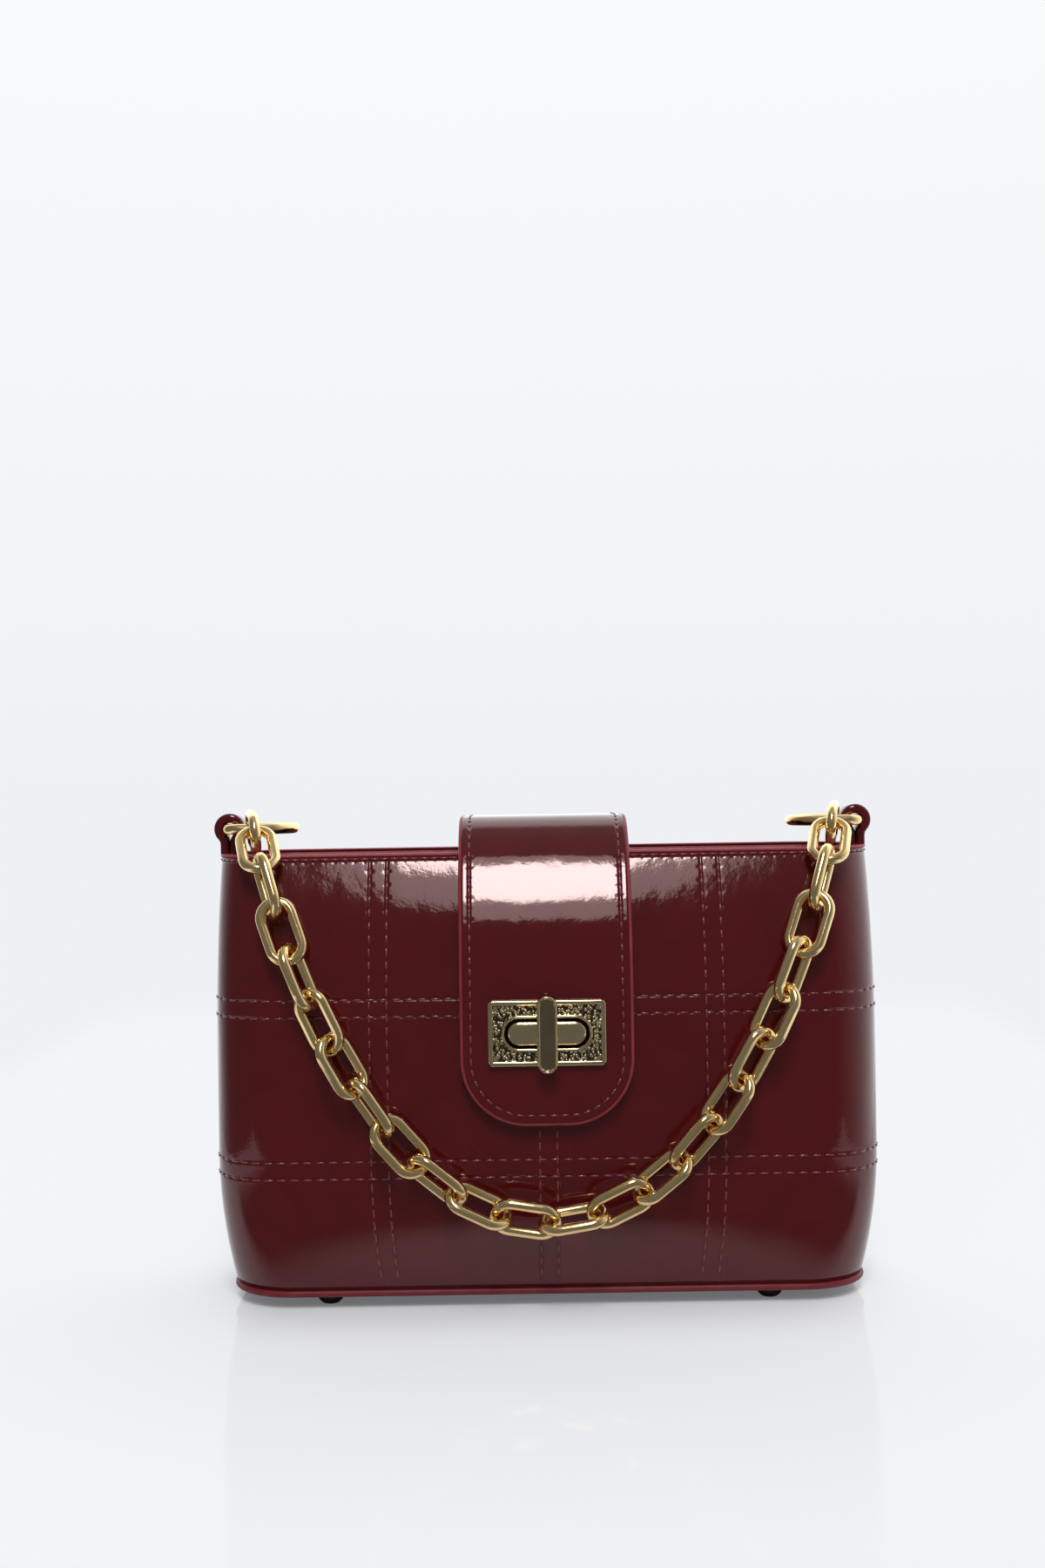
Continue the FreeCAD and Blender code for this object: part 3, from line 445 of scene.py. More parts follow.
# Antique gold: polished, with a dark tint where the sewn third value asks for it. Pebbled, the value
# marks the field of round grains whose gaps are sunk and dark.
def antiqueGold(name, tinted=False, pebbled=False):
    look = antiqueLook
    material, start, place = newFinish(name)
    grain = place.noise(*look["grain"])
    color = place.noise(*look["cloud"]).blendColor(look["worn"], look["bright"])
    height = grain * look["grainDepth"]
    roughness = grain.about(look["roughness"], look["unevenness"])
    if tinted:
        color = (sewnPlace(start)[2] * look["topTint"]).blendColor(color, look["dark"])
    if pebbled:
        field = sewnPlace(start)[2]
        away = start.node("ShaderNodeTexVoronoi", None,
                          {"Vector": place, "Scale": look["pebbles"], "Randomness": look["disorder"]})
        sunk = away.rise(*look["pebbleGap"]) * field
        color = (sunk * look["gapTint"]).blendColor(color, look["dark"])
        height = height - sunk * look["gapDepth"]
        roughness = roughness + field * look["fieldRoughness"]
    setSurface(start, {"Base Color": color, "Metallic": 1.0, "Roughness": roughness}, height)
    return material


panelLeather = patentLeather("panel_leather", gridSeams)
strapLeather = patentLeather("strap_leather", strapSeams)
plainLeather = patentLeather("plain_leather")
redEdge = plainFinish("edge_paint", edgeLook)
# The base's edge paint is the same paint made darker: painted shade for the low edge.
baseEdgeShaded = plainFinish("base_paint_shaded", baseShadedLook)
mouthFacing = plainFinish("mouth_facing", edgeLook)
cloth = liningCloth("lining_cloth")
gold = polishedGold("gold_plate")
lockGold = antiqueGold("antique_gold")
knobGold = antiqueGold("antique_gold_dark_top", tinted=True)
plateGold = antiqueGold("antique_gold_pebbled", pebbled=True)
darkFitting = plainFinish("dark_fitting", darkLook)
board = plainFinish("fibre_board", boardLook)
thread = plainFinish("waxed_thread", threadLook)
print("finishes made")


panelShape = {"columns": 145, "rows": 70}


# Front or back panel: the wall function on a grid of outline length and height.
def makePanel(name, facing):
    s = np.linspace(-halfRun, halfRun, panelShape["columns"])[None, :]
    z = np.linspace(wallShape["baseTop"], wallShape["wallTop"], panelShape["rows"])[:, None]
    points = wallPoint(s, z, facing)
    pattern = np.stack(np.broadcast_arrays(s, z, 0.0), -1)
    piece = meshPiece(name + "_leather", points, [gridFaces(panelShape["rows"], panelShape["columns"])],
                      [panelLeather, cloth], insideBag, pattern)
    thicken(piece, wallShape["wall"], 0, 1)
    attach(piece, "bag")
    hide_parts(name)


makePanel("front_panel", -1)
makePanel("back_panel", 1)
print("panels made")

stitchShape = {
    "radius": 0.42, "sides": 6, "sunk": 0.05, "gridHalf": 1.35, "strapHalf": 1.15,
    "rings": ((-1, 0.3), (-0.8, 0.85), (0, 1.0), (0.8, 0.85), (1, 0.3)),
}


# Stitches: at each place a rod of rings, thinner at its ends, lying along its tangent and half sunk
# into the surface.
def stitchPiece(name, centre, along, out, half, body=None):
    t = stitchShape
    rings, sides = np.array(t["rings"]), t["sides"]
    size = len(rings) * sides
    turn = np.arange(sides) * 2 * math.pi / sides
    lengthways = np.repeat(rings[:, 0], sides) * half
    across = (rings[:, 1:] * np.cos(turn)).ravel() * t["radius"]
    upward = (rings[:, 1:] * np.sin(turn)).ravel() * t["radius"]
    side = np.cross(out, along)
    points = ((centre - out * t["sunk"])[:, None] + lengthways[None, :, None] * along[:, None]
              + across[None, :, None] * side[:, None] + upward[None, :, None] * out[:, None])
    step = (np.arange(len(centre)) * size)[:, None, None]
    quads = (gridFaces(len(rings), sides, closeColumns=True)[None] + step).reshape(-1, 4)
    ends = (np.stack([np.arange(sides)[::-1], np.arange(size - sides, size)])[None] + step).reshape(-1, sides)
    piece = meshPiece(name, points, [quads, ends], [thread])
    if body:
        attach(piece, body)
    return piece


# Places of stitches at an even pitch between two values.
def evenPlaces(low, high, pitch):
    count = int((high - low) // pitch)
    return low + (high - low - (count - 1) * pitch) / 2 + np.arange(count) * pitch


# Rows of the sewn grid on one panel: uprights at fixed s, levels at fixed z, and the row under the mouth.
def makeGridStitches(name, facing):
    g, pitch = gridLines, leatherLook["stitchPitch"]
    end = halfRun - g["seamGap"]
    upright = evenPlaces(*g["uprightSpan"], pitch)
    level = evenPlaces(-end, end, pitch)
    mouth = evenPlaces(-end, end, g["mouthPitch"])
    lines = np.array([side * line for side in (-1, 1) for line in g["upright"]])
    heights = np.array([line + side * g["levelHalfGap"] for side in (-1, 1) for line in g["level"]])
    s = np.concatenate([np.repeat(lines, len(upright)), np.tile(level, len(heights)), mouth])
    z = np.concatenate([np.tile(upright, len(lines)), np.repeat(heights, len(level)),
                        np.full(len(mouth), g["mouth"])])
    isUpright = np.arange(len(s)) < len(lines) * len(upright)
    surface = lambda a, b: wallPoint(a, b, facing)
    alongS, alongZ, normal = surfaceFrame(surface, s, z)
    along = np.where(isUpright[:, None], alongZ, alongS)
    out = normal * (-facing)
    stitchPiece(name, surface(s, z), along, out, stitchShape["gridHalf"], "bag")


makeGridStitches("front_stitching", -1)
makeGridStitches("back_stitching", 1)
print("panel stitching made")


# Stack of equal rings joined one to the next; a middle point closes each end unless the stack is a loop.
# A pattern gives each ring its third sewn value.
def ringPiece(name, rings, materials, body, loop=False, pattern=None, sharp=40):
    rings = np.asarray(rings, float)
    rows, columns = rings.shape[:2]
    points = rings.reshape(-1, 3)
    faces = [gridFaces(rows, columns, closeRows=loop, closeColumns=True)]
    if not loop:
        points = np.concatenate([points, [rings[0].mean(0), rings[-1].mean(0)]])
        first, last = np.arange(columns), np.arange(columns) + (rows - 1) * columns
        faces += [fanFaces(first[::-1], rows * columns), fanFaces(last, rows * columns + 1)]
    if pattern is not None:
        pattern = np.repeat(np.asarray(pattern, float), columns)
        pattern = pattern if loop else np.append(pattern, pattern[[0, -1]])
        pattern = pattern[:, None] * (0.0, 0.0, 1.0)
    piece = meshPiece(name, points, faces, materials, None, pattern, sharp=sharp)
    if body:
        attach(piece, body)
    return piece


# Outline in x and y set at a height z.
def levelRing(outline, z):
    return np.column_stack([outline, np.full(len(outline), z)])


baseShape = {
    "halfWidth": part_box("base_panel")[1].x * 1000,
    "halfDepth": (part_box("base_panel")[1].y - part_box("base_panel")[0].y) * 500,
    "bottom": 4.0, "top": 6.2, "insets": (30, 3.0), "bulge": 0.9, "smallRadius": 1.0,
    "edgeSteps": 9, "perCorner": 10,
}


# Base: level rings that make a slab with a half-round painted edge, dark leather underneath.
def makeBase():
    b = baseShape
    middle, half = (b["bottom"] + b["top"]) / 2, (b["top"] - b["bottom"]) / 2
    turn = np.linspace(-math.pi / 2, math.pi / 2, b["edgeSteps"])
    insets = np.concatenate([b["insets"], half * (1 - np.cos(turn)) * b["bulge"], b["insets"][::-1]])
    heights = np.concatenate([[b["bottom"]] * 2, middle + half * np.sin(turn), [b["top"]] * 2])
    radii = np.maximum(wallShape["corner"] - insets, b["smallRadius"])
    rings = [levelRing(roundOutline(b["halfWidth"] - inset, b["halfDepth"] - inset, radius, b["perCorner"]), z)
             for inset, radius, z in zip(insets, radii, heights)]
    # The edge takes the darker copy of the edge paint, which is painted shade.
    piece = ringPiece("base_edge", rings, [baseEdgeShaded, plainLeather], "bag")
    paintFaces(piece, lambda z: z < b["bottom"] * mm + 1e-5)
    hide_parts("base_panel")


makeBase()

mouthShape = {
    "low": 144.1, "high": 145.0, "overhang": 0.3, "breadth": 3.9, "round": 0.4, "steps": 150, "perCorner": 5,
}


# Mouth edge: a round-cornered rectangle between inset values and heights, carried along the wall's
# whole outline.
def makeMouthEdge():
    m = mouthShape
    section = roundOutline(m["breadth"] / 2, (m["high"] - m["low"]) / 2, m["round"], m["perCorner"])
    section = section + (m["breadth"] / 2 - m["overhang"], (m["high"] + m["low"]) / 2)
    s = np.linspace(-halfRun, halfRun, m["steps"])[:-1, None]
    front = wallPoint(s, section[None, :, 1], -1, section[None, :, 0])
    back = wallPoint(-s, section[None, :, 1], 1, section[None, :, 0])
    rings = np.concatenate([front, back])
    piece = ringPiece("mouth_paint", rings, [redEdge], "bag", loop=True)
    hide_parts("mouth_edge")


makeMouthEdge()

liningShape = {
    "gap": 3.9, "mouthGap": 2.8, "drawnOver": 14.0, "floor": 9.4, "top": 144.1, "thickness": 0.8,
    "facing": 22.0, "slack": 0.35, "slackOver": 20.0, "slackAt": 80.0,
    "sway": 0.8, "swayUp": 0.09, "waveAlong": 0.11, "waveUp": 0.05, "rows": 44, "columns": 120,
    "floorRings": 13, "ringPitch": 4.0, "floorShare": 0.98, "floorPattern": -60,
}


# Lining: a tub inside the wall, drawn close to it at the mouth, with slow wrinkles as a product of sines
# and a flat floor of shrinking rings.
def makeLining():
    tub = liningShape
    z = np.linspace(tub["top"], tub["floor"], tub["rows"])
    below = tub["top"] - z
    inset = tub["mouthGap"] + (tub["gap"] - tub["mouthGap"]) * np.clip(below / tub["drawnOver"], 0, 1)
    s = np.linspace(-halfRun, halfRun, tub["columns"])[:-1]
    front = wallPoint(s[None, :], z[:, None], -1, inset[:, None])
    back = wallPoint(-s[None, :], z[:, None], 1, inset[:, None])
    rows = np.concatenate([front, back], 1)
    length = np.concatenate([s, s + 2 * halfRun])
    sway = tub["sway"] * np.sin(z * tub["swayUp"])[:, None]
    wrinkle = np.sin(length * tub["waveAlong"] + sway) * np.sin(z * tub["waveUp"] + 1)[:, None]
    loose = (wrinkle * 0.5 + 0.5) * tub["slack"] / tub["slackAt"]
    rows[:, :, :2] *= 1 - (loose * np.clip(below / tub["slackOver"], 0, 1)[:, None])[..., None]
    shrink = np.linspace(tub["floorShare"], 0.0, tub["floorRings"] + 1)[:-1, None, None]
    floor = shrink * (rows[-1] * (1, 1, 0))[None] + (0, 0, tub["floor"])
    points = np.concatenate([rows, floor])
    count, columns = points.shape[:2]
    heights = np.concatenate([z, -np.arange(tub["floorRings"]) * tub["ringPitch"]])
    place = np.stack(np.broadcast_arrays(length[None, :], heights[:, None], 0.0), -1)
    points = np.concatenate([points.reshape(-1, 3), [[0, 0, tub["floor"]]]])
    place = np.concatenate([place.reshape(-1, 3), [[0, tub["floorPattern"], 0]]])
    last = np.arange(columns) + (count - 1) * columns
    faces = [gridFaces(count, columns, closeColumns=True), fanFaces(last, count * columns)]
    piece = meshPiece("lining_cloth", points, faces, [cloth, mouthFacing], insideBag, place)
    paintFaces(piece, lambda z: z > (tub["top"] - tub["facing"]) * mm)
    thicken(piece, tub["thickness"])
    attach(piece, "bag")
    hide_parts("lining")


makeLining()
print("base, mouth and lining made")

# Flap and tail: one strap from the back panel over the mouth and down the front.
strapShape = {
    "halfWidth": 26.5, "thickness": 2.4, "gap": 0.6, "top": 156.2, "tailLow": 109.0, "end": 60.7,
    "bendZ": 100.0, "mouthY": 33.9, "mouthZ": 143.5, "foldDrop": 2.14, "front": 46.0, "corner": 20.0,
    "rows": 260, "cornerRows": 30, "columns": 61, "edgeReach": 30.0, "inside": (0, 0, 100.0),
    "slotHalfX": 14.2, "slotHalfZ": 5.6, "slotZ": 89.2, "slotClear": 0.15,
    "edge": 1.0, "edgeSunk": 0.25, "edgeRise": 0.06, "edgeFoot": 0.6, "edgeSteps": 9, "quarterRun": 1.6,
    "lineSteps": 120, "backSteps": 60, "bend": 8.0, "bendWay": (0, -0.8, 0.6),
}


# Side view of the strap's outer face as a line: tail on the sloping wall, back bend, flat top, an arch
# down to the mouth, a slow bend and the straight front, each arc tangent to the next.
def strapLine():
    t, w = strapShape, wallShape
    run = 2 * (w["bellyDepth"] - w["mouthDepth"]) / (w["mouthTop"] - w["shoulder"])
    slant = math.hypot(1, run)
    foldZ = w["mouthTop"] - t["foldDrop"]
    foldY = w["mouthDepth"] + (t["gap"] + t["thickness"]) * slant + run * t["foldDrop"]
    backBend = (t["top"] - foldZ) / (1 - run / slant)
    z = np.linspace(t["tailLow"], foldZ, t["lineSteps"])
    share = np.clip(z, None, w["mouthTop"]) - w["shoulder"]
    slope = run * share / (w["mouthTop"] - w["shoulder"])
    y = wallSize(np.clip(z, None, w["mouthTop"]))[1] + (t["gap"] + t["thickness"]) * np.hypot(1, slope)
    y = y - run * np.clip(z - w["mouthTop"], 0, None)
    tail = np.column_stack([y, z])
    backY = foldY - backBend / slant
    turn = np.linspace(math.atan2(run, 1), math.pi / 2, t["backSteps"])[1:]
    back = (backY, t["top"] - backBend) + arc(backBend, turn)
    lean, climb = t["front"] - t["mouthY"], t["mouthZ"] - t["bendZ"]
    slow = (lean**2 + climb**2) / (2 * lean)
    tilt = math.asin(climb / slow)
    arch = (t["top"] - t["mouthZ"]) / (1 - climb / slow)
    turn = np.linspace(math.pi / 2, math.pi - tilt, t["lineSteps"])
    over = (arch * math.cos(tilt) - t["mouthY"], t["top"] - arch) + arc(arch, turn)
    turn = np.linspace(math.pi - tilt, math.pi, t["lineSteps"])[1:]
    down = (slow - t["front"], t["bendZ"]) + arc(slow, turn)
    return np.concatenate([tail, back, over, down, [[-t["front"], t["end"]]]]), foldY, foldZ


strapPath, foldY, foldZ = strapLine()
strapRun = runLength(strapPath)
strapLength = strapRun[-1]


# Point of the strap's outer face at x across and a length along the line from the tail's lower end.
def strapPoint(x, along):
    y, z = np.interp(along, strapRun, strapPath[:, 0]), np.interp(along, strapRun, strapPath[:, 1])
    return np.stack(np.broadcast_arrays(x, y, z), -1)


# Outward normal of the strap: the side view's tangent turned a quarter.
def strapNormal(along, step=0.6):
    ahead, behind = [strapPoint(0.0, np.clip(along + way, 0, strapLength)) for way in (step, -step)]
    tangent = unit(ahead - behind)
    return np.stack([np.zeros_like(tangent[..., 0]), tangent[..., 2], -tangent[..., 1]], -1)


# Half width at a length along: full, then a quarter circle into the lower end.
def strapHalf(along):
    half, corner = strapShape["halfWidth"], strapShape["corner"]
    left = np.clip(corner - (strapLength - along), 0, corner)
    return half - corner + np.sqrt(np.clip(corner**2 - left**2, 0, None))


# Bakes the piece's placement into its mesh; the strap is not bent between bag and flap, and the fold point
# worked out here is not used.
def bendStrap(piece):
    start = np.array([0, foldY + bagY, foldZ])
    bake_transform(piece)


# Strap: points of the side view on a grid of length and width, without the faces over the lock's slot.
# The third pattern value is the distance from the edge.
def makeStrap():
    t = strapShape
    straight = strapLength - t["corner"]
    turn = np.linspace(0, math.pi / 2, t["cornerRows"] + 1)
    along = np.concatenate([np.linspace(0, straight, t["rows"] - t["cornerRows"])[:-1],
                            strapLength - t["corner"] * np.cos(turn)])
    x = np.linspace(-1, 1, t["columns"])[None, :] * strapHalf(along)[:, None]
    along = along[:, None]
    points = strapPoint(x, along)
    edge = np.minimum(t["halfWidth"] - np.abs(x), t["edgeReach"])
    beyond = np.hypot(np.clip(np.abs(x) - (t["halfWidth"] - t["corner"]), 0, None), along - straight)
    edge = np.where(along > straight, t["corner"] - beyond, edge)
    edge = np.minimum(edge, along)
    pattern = np.stack(np.broadcast_arrays(x, along, edge), -1)
    faces = gridFaces(*points.shape[:2])
    flat = points.reshape(-1, 3)
    slotX = np.clip(np.abs(flat[:, 0]) - (t["slotHalfX"] - t["slotHalfZ"]), 0, None)
    away = np.hypot(slotX, flat[:, 2] - t["slotZ"])
    inSlot = (away < t["slotHalfZ"] + t["slotClear"]) & (flat[:, 1] < 0)
    faces = faces[~inSlot[faces].any(1)]
    used = np.unique(faces)
    lookup = np.zeros(len(flat), int)
    lookup[used] = np.arange(len(used))
    piece = meshPiece("strap_leather", flat[used], [lookup[faces]], [strapLeather, cloth, redEdge],
                      np.array(t["inside"]), pattern.reshape(-1, 3)[used])
    thicken(piece, t["thickness"], 2, 1)
    return piece


# Outline of the strap at an inset from its edges: up one side from the tail, round the end, and back.
def strapOutline(inset, step=0.5, tail=0.0):
    t = strapShape
    radius = t["corner"] - inset
    side = np.arange(tail, strapLength - t["corner"], step)
    turn = np.linspace(0, math.pi / 2, int(radius * t["quarterRun"] / step))
    cornerX = t["halfWidth"] - t["corner"] + radius * np.cos(turn)
    cornerAlong = strapLength - t["corner"] + radius * np.sin(turn)
    end = np.arange(t["halfWidth"] - t["corner"] - step, 0, -step)
    x = np.concatenate([np.full(len(side), t["halfWidth"] - inset), cornerX, end])
    along = np.concatenate([side, cornerAlong, np.full(len(end), strapLength - inset)])
    return np.concatenate([x, -x[::-1]]), np.concatenate([along, along[::-1]])


# Painted edge: a low half round carried along the outline at the middle of the strap's thickness.
def makeStrapEdge():
    t = strapShape
    x, along = strapOutline(t["edgeSunk"])
    out = strapNormal(along)
    path = strapPoint(x, along) - out * t["thickness"] / 2
    forward = unit(np.gradient(path, axis=0))
    side = unit(np.cross(forward, out))
    turn = np.linspace(-math.pi / 2, math.pi / 2, t["edgeSteps"])
    half = t["thickness"] / 2 + t["edgeRise"]
    outward = math.copysign(1, side[0, 0] * x[0])
    profile = np.column_stack([outward * np.cos(turn) * t["edge"], np.sin(turn) * half])
    profile = np.concatenate([profile, [[0, half * t["edgeFoot"]], [0, -half * t["edgeFoot"]]]])
    return ringPiece("strap_edge", carried(path, side, out, profile), [redEdge], None)


# Sewn line inside the strap's outline, and across the tail's lower end.
def makeStrapStitches():
    inset, pitch, margin, reach, step = strapRow.values()
    x, along = strapOutline(inset, step, inset)
    run = runLength(strapPoint(x, along))
    spots = evenPlaces(margin, run[-1] - margin, pitch)
    tailHalf = strapShape["halfWidth"] - inset - margin
    tailX = evenPlaces(-tailHalf, tailHalf, pitch)

    def spotPlace(offset):
        return np.interp(spots + offset, run, x), np.interp(spots + offset, run, along)

    direction = unit(strapPoint(*spotPlace(reach)) - strapPoint(*spotPlace(-reach)))
    direction = np.concatenate([direction, np.tile([[1.0, 0, 0]], (len(tailX), 1))])
    spotX, spotAlong = spotPlace(0.0)
    spotX = np.concatenate([spotX, tailX])
    spotAlong = np.concatenate([spotAlong, np.full(len(tailX), inset)])
    return stitchPiece("strap_stitching", strapPoint(spotX, spotAlong), direction, strapNormal(spotAlong),
                       stitchShape["strapHalf"])


strap = makeStrap()
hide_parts("flap", "flap_lining", "flap_tail")
strapEdge = makeStrapEdge()
strapThread = makeStrapStitches()
for piece in (strap, strapEdge, strapThread):
    bpy.context.view_layer.update()
    if piece.modifiers:
        final = bpy.data.meshes.new_from_object(piece.evaluated_get(bpy.context.evaluated_depsgraph_get()))
        final.name = piece.name
        piece.modifiers.clear()
        piece.data = final
    bendStrap(piece)
print("strap made")

# Turn-lock on the front, worked out in x, z and a distance out from the middle plane.
lockShape = {
    "z": 89.2, "flapOut": 46.0, "plateOut": 47.55, "wallOut": 48.4, "bossOut": 48.6,
    "knobBack": 49.0, "knobFront": 52.2, "plateHalf": (18.4, 10.25), "plateCorner": 1.6,
    "slotHalf": (13.3, 4.7), "bossHalf": (12.3, 3.7),
    "knobHalf": (3.25, 12.0), "shaft": 1.7, "shaftBack": 37.5, "smallRadius": 0.25, "crease": 50,
}


# Outline in x and z about the lock's axis at a distance out.
def frontRing(halfX, halfZ, radius, out):
    outline = roundOutline(halfX, halfZ, radius)
    return np.column_stack([outline[:, 0], np.full(len(outline), -out), outline[:, 1] + lockShape["z"]])


# Plate: rings from the slot's inner wall over its raised rim, across the flat and the raised border.
def makeLockPlate():
    k = lockShape
    slotX, slotZ = k["slotHalf"]
    plateX, plateZ = k["plateHalf"]
    slotRings = ((0, k["flapOut"]), (0, 48.1), (0.1, 48.3), (0.3, k["wallOut"]), (0.6, k["wallOut"]),
                 (0.8, 48.3), (0.9, 48.1), (0.9, 47.7), (1.0, 47.58), (1.3, k["plateOut"]))
    plateRings = ((1.9, k["plateOut"]), (1.6, 47.57), (1.5, 47.65), (1.42, 47.82), (1.25, 47.92),
                  (0.6, 47.95), (0.3, 47.9), (0.1, 47.75), (0, 47.5), (0, k["flapOut"] + 0.1),
                  (0.1, k["flapOut"]))
    rings = [frontRing(slotX + d, slotZ + d, slotZ + d, out) for d, out in slotRings]
    rings += [frontRing(plateX - d, plateZ - d, max(k["plateCorner"] - d, k["smallRadius"]), out)
              for d, out in plateRings]
    field = [0.0] * (len(slotRings) - 2) + [1.0] * 4 + [0.0] * (len(plateRings) - 2)
    piece = ringPiece("lock_plate_metal", rings, [plateGold], "flap", loop=True, pattern=field,
                      sharp=k["crease"])
    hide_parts("lock_plate")


# Boss: foot, upright wall and a domed oval top.
def makeLockBoss():
    k = lockShape
    x, z = k["bossHalf"]
    steps = ((-4.0, 41.1), (-4.0, 41.75), (-3.8, 41.9), (-0.3, 41.9), (0, 42.1), (0, 47.7), (0.12, 48.05),
             (0.4, 48.3), (1.0, 48.47), (1.8, 48.56), (2.7, k["bossOut"]), (3.4, k["bossOut"]))
    rings = [frontRing(x - d, z - d, z - d, out) for d, out in steps]
    piece = ringPiece("lock_boss_metal", rings, [lockGold], "bag", sharp=k["crease"])
    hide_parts("lock_boss")


# Turning bar: rounded sides, a bright rim and a slightly sunk dark top, with its shaft behind.
def makeLockKnob():
    k = lockShape
    x, z = k["knobHalf"]
    back, front = k["knobBack"], k["knobFront"]
    steps = ((0.6, back, 0), (0.2, back + 0.08, 0), (0.03, back + 0.35, 0), (0, back + 0.7, 0),
             (0, front - 0.9, 0), (0.06, front - 0.45, 0), (0.25, front - 0.12, 0), (0.5, front, 0),
             (0.8, front - 0.03, 0), (0.92, front - 0.14, 0.6), (1.0, front - 0.3, 1), (1.2, front - 0.38, 1),
             (2.0, front - 0.34, 1), (2.9, front - 0.32, 1))
    rings = [frontRing(x - d, z - d, x - d, out) for d, out, dark in steps]
    piece = ringPiece("lock_knob_metal", rings, [knobGold], "knob", pattern=[dark for d, out, dark in steps],
                      sharp=k["crease"])
    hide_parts("lock_knob")
    r = k["shaft"]
    steps = ((0.2, k["shaftBack"]), (0, k["shaftBack"] + 0.2), (0, back + 0.05))
    rings = [frontRing(r - d, r - d, r - d, out) for d, out in steps]
    shaft = ringPiece("lock_shaft_metal", rings, [darkFitting], "knob")


makeLockPlate()
makeLockBoss()
makeLockKnob()
print("lock made")

# Hanger loops: a leather strip rolled round the ring's bar, its two ends sewn together on the mouth edge.
hangerShape = {
    "x": 104.0, "low": 145.0, "barZ": 153.15, "roll": 3.6, "leather": 3.1, "depth": 9.6, "round": 1.25,
    "opening": 42.0, "neck": 1.9, "pull": 5.0, "sunk": 0.2, "rollSteps": 45, "neckSteps": 12, "perCorner": 5,
}
ringMiddle = (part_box("left_ring")[0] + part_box("left_ring")[1]) / 2 * 1000


# Section carried along an open circle whose ends run down, by a cubic from the upright neck to the
# circle's tangent, into two layers side by side.
def makeHanger(name, side):
    h = hangerShape
    slit = math.radians(h["opening"])
    turn = np.linspace(-slit, math.pi + slit, h["rollSteps"])
    t = np.linspace(0, 1, h["neckSteps"])[:-1, None]
    neck = np.array([h["leather"] / 2, h["low"] + h["neck"] - h["barZ"]])
    join = h["roll"] * np.array([math.cos(slit), -math.sin(slit)])
    up, out = np.array([0.0, h["pull"]]), h["pull"] * np.array([math.sin(slit), math.cos(slit)])
    curve = ((1 + 2 * t) * (1 - t) ** 2 * neck + t * (1 - t) ** 2 * up
             + t**2 * (3 - 2 * t) * join + t**2 * (t - 1) * out)
    foot = np.array([[h["leather"] / 2, h["low"] - h["sunk"] - h["barZ"]]])
    half = np.concatenate([foot, curve])
    line = np.concatenate([half, arc(h["roll"], turn), half[::-1] * (-1, 1)])
    tangent = unit(np.gradient(line, axis=0))
    level = np.full(len(line), ringMiddle.y - bagY)
    path = np.column_stack([line[:, 0] + h["x"] * side, level, line[:, 1] + h["barZ"]])
    across = np.column_stack([tangent[:, 1], np.zeros(len(line)), -tangent[:, 0]])
    deep = np.array([[0.0, 1.0, 0.0]])
    section = roundOutline(h["leather"] / 2, h["depth"] / 2, h["round"], h["perCorner"])
    piece = ringPiece(name + "_leather", carried(path, across, deep, section), [plainLeather], "bag")
    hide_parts(name)


makeHanger("left_hanger", -1)
makeHanger("right_hanger", 1)
print("hangers made")

# Rings: round wire carried along a D with two small corners at the loop and a half circle at the far end.
ringShape = {
    "wire": 3.5, "gauge": 10.5, "length": 21.0, "corner": 4.0,
    "around": 18, "cornerSteps": 11, "endSteps": 41, "barSteps": 6,
}


# Closed path in the level plane as bar, corner, arm, half circle, arm and corner.
def makeRing(name, side):
    r, h = ringShape, hangerShape
    gauge, corner = r["gauge"], r["corner"]
    armEnd = r["length"] - gauge
    turn = np.linspace(0, math.pi / 2, r["cornerSteps"])
    half = np.linspace(0, math.pi, r["endSteps"])
    bar = np.linspace(corner - gauge, gauge - corner, r["barSteps"])[:-1]
    cornerIn = corner - corner * np.cos(turn)
    cornerY = gauge - corner + corner * np.sin(turn)
    inward = np.concatenate([np.zeros(len(bar)), cornerIn, armEnd + gauge * np.sin(half), cornerIn[::-1]])
    y = np.concatenate([bar, cornerY, gauge * np.cos(half), -cornerY[::-1]])
    path = np.column_stack([(h["x"] - inward) * side, y + ringMiddle.y - bagY, np.full(len(y), h["barZ"])])
    forward = unit(np.roll(path, -1, 0) - np.roll(path, 1, 0))
    rise = np.array([[0.0, 0.0, 1.0]])
    rings = carried(path, np.cross(rise, forward), rise, wireSection(r))
    piece = ringPiece(name + "_wire", rings, [gold], name, loop=True, sharp=None)
    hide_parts(name)


makeRing("left_ring", -1)
makeRing("right_ring", 1)

# Chain: round wire carried along an oblong, set in the place and turn of each CAD link.
linkShape = {"count": 24, "wire": 3.4, "around": 16, "arc": 15}


# Middle, axes and half sizes of a solid from area-weighted sums over its triangles.
def solidFrame(node):
    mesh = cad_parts[node].data
    points = np.zeros(len(mesh.vertices) * 3)
    mesh.vertices.foreach_get("co", points)
    corners = np.zeros(len(mesh.loops), np.int32)
    mesh.loops.foreach_get("vertex_index", corners)
    points = points.reshape(-1, 3) * 1000 - (0, bagY, 0)
    a, b, c = np.moveaxis(points[corners.reshape(-1, 3)], 1, 0)
    area = np.linalg.norm(np.cross(b - a, c - a), axis=1)
    centre = (a + b + c) / 3
    middle = (centre * area[:, None]).sum(0) / area.sum()
    spread = np.einsum("i,ij,ik->jk", area, centre - middle, centre - middle)
    axes = np.linalg.eigh(spread)[1][:, ::-1].T
    axes[2] = np.cross(axes[0], axes[1])
    local = (points - middle) @ axes.T
    return middle + (local.max(0) + local.min(0)) / 2 @ axes, axes, (local.max(0) - local.min(0)) / 2


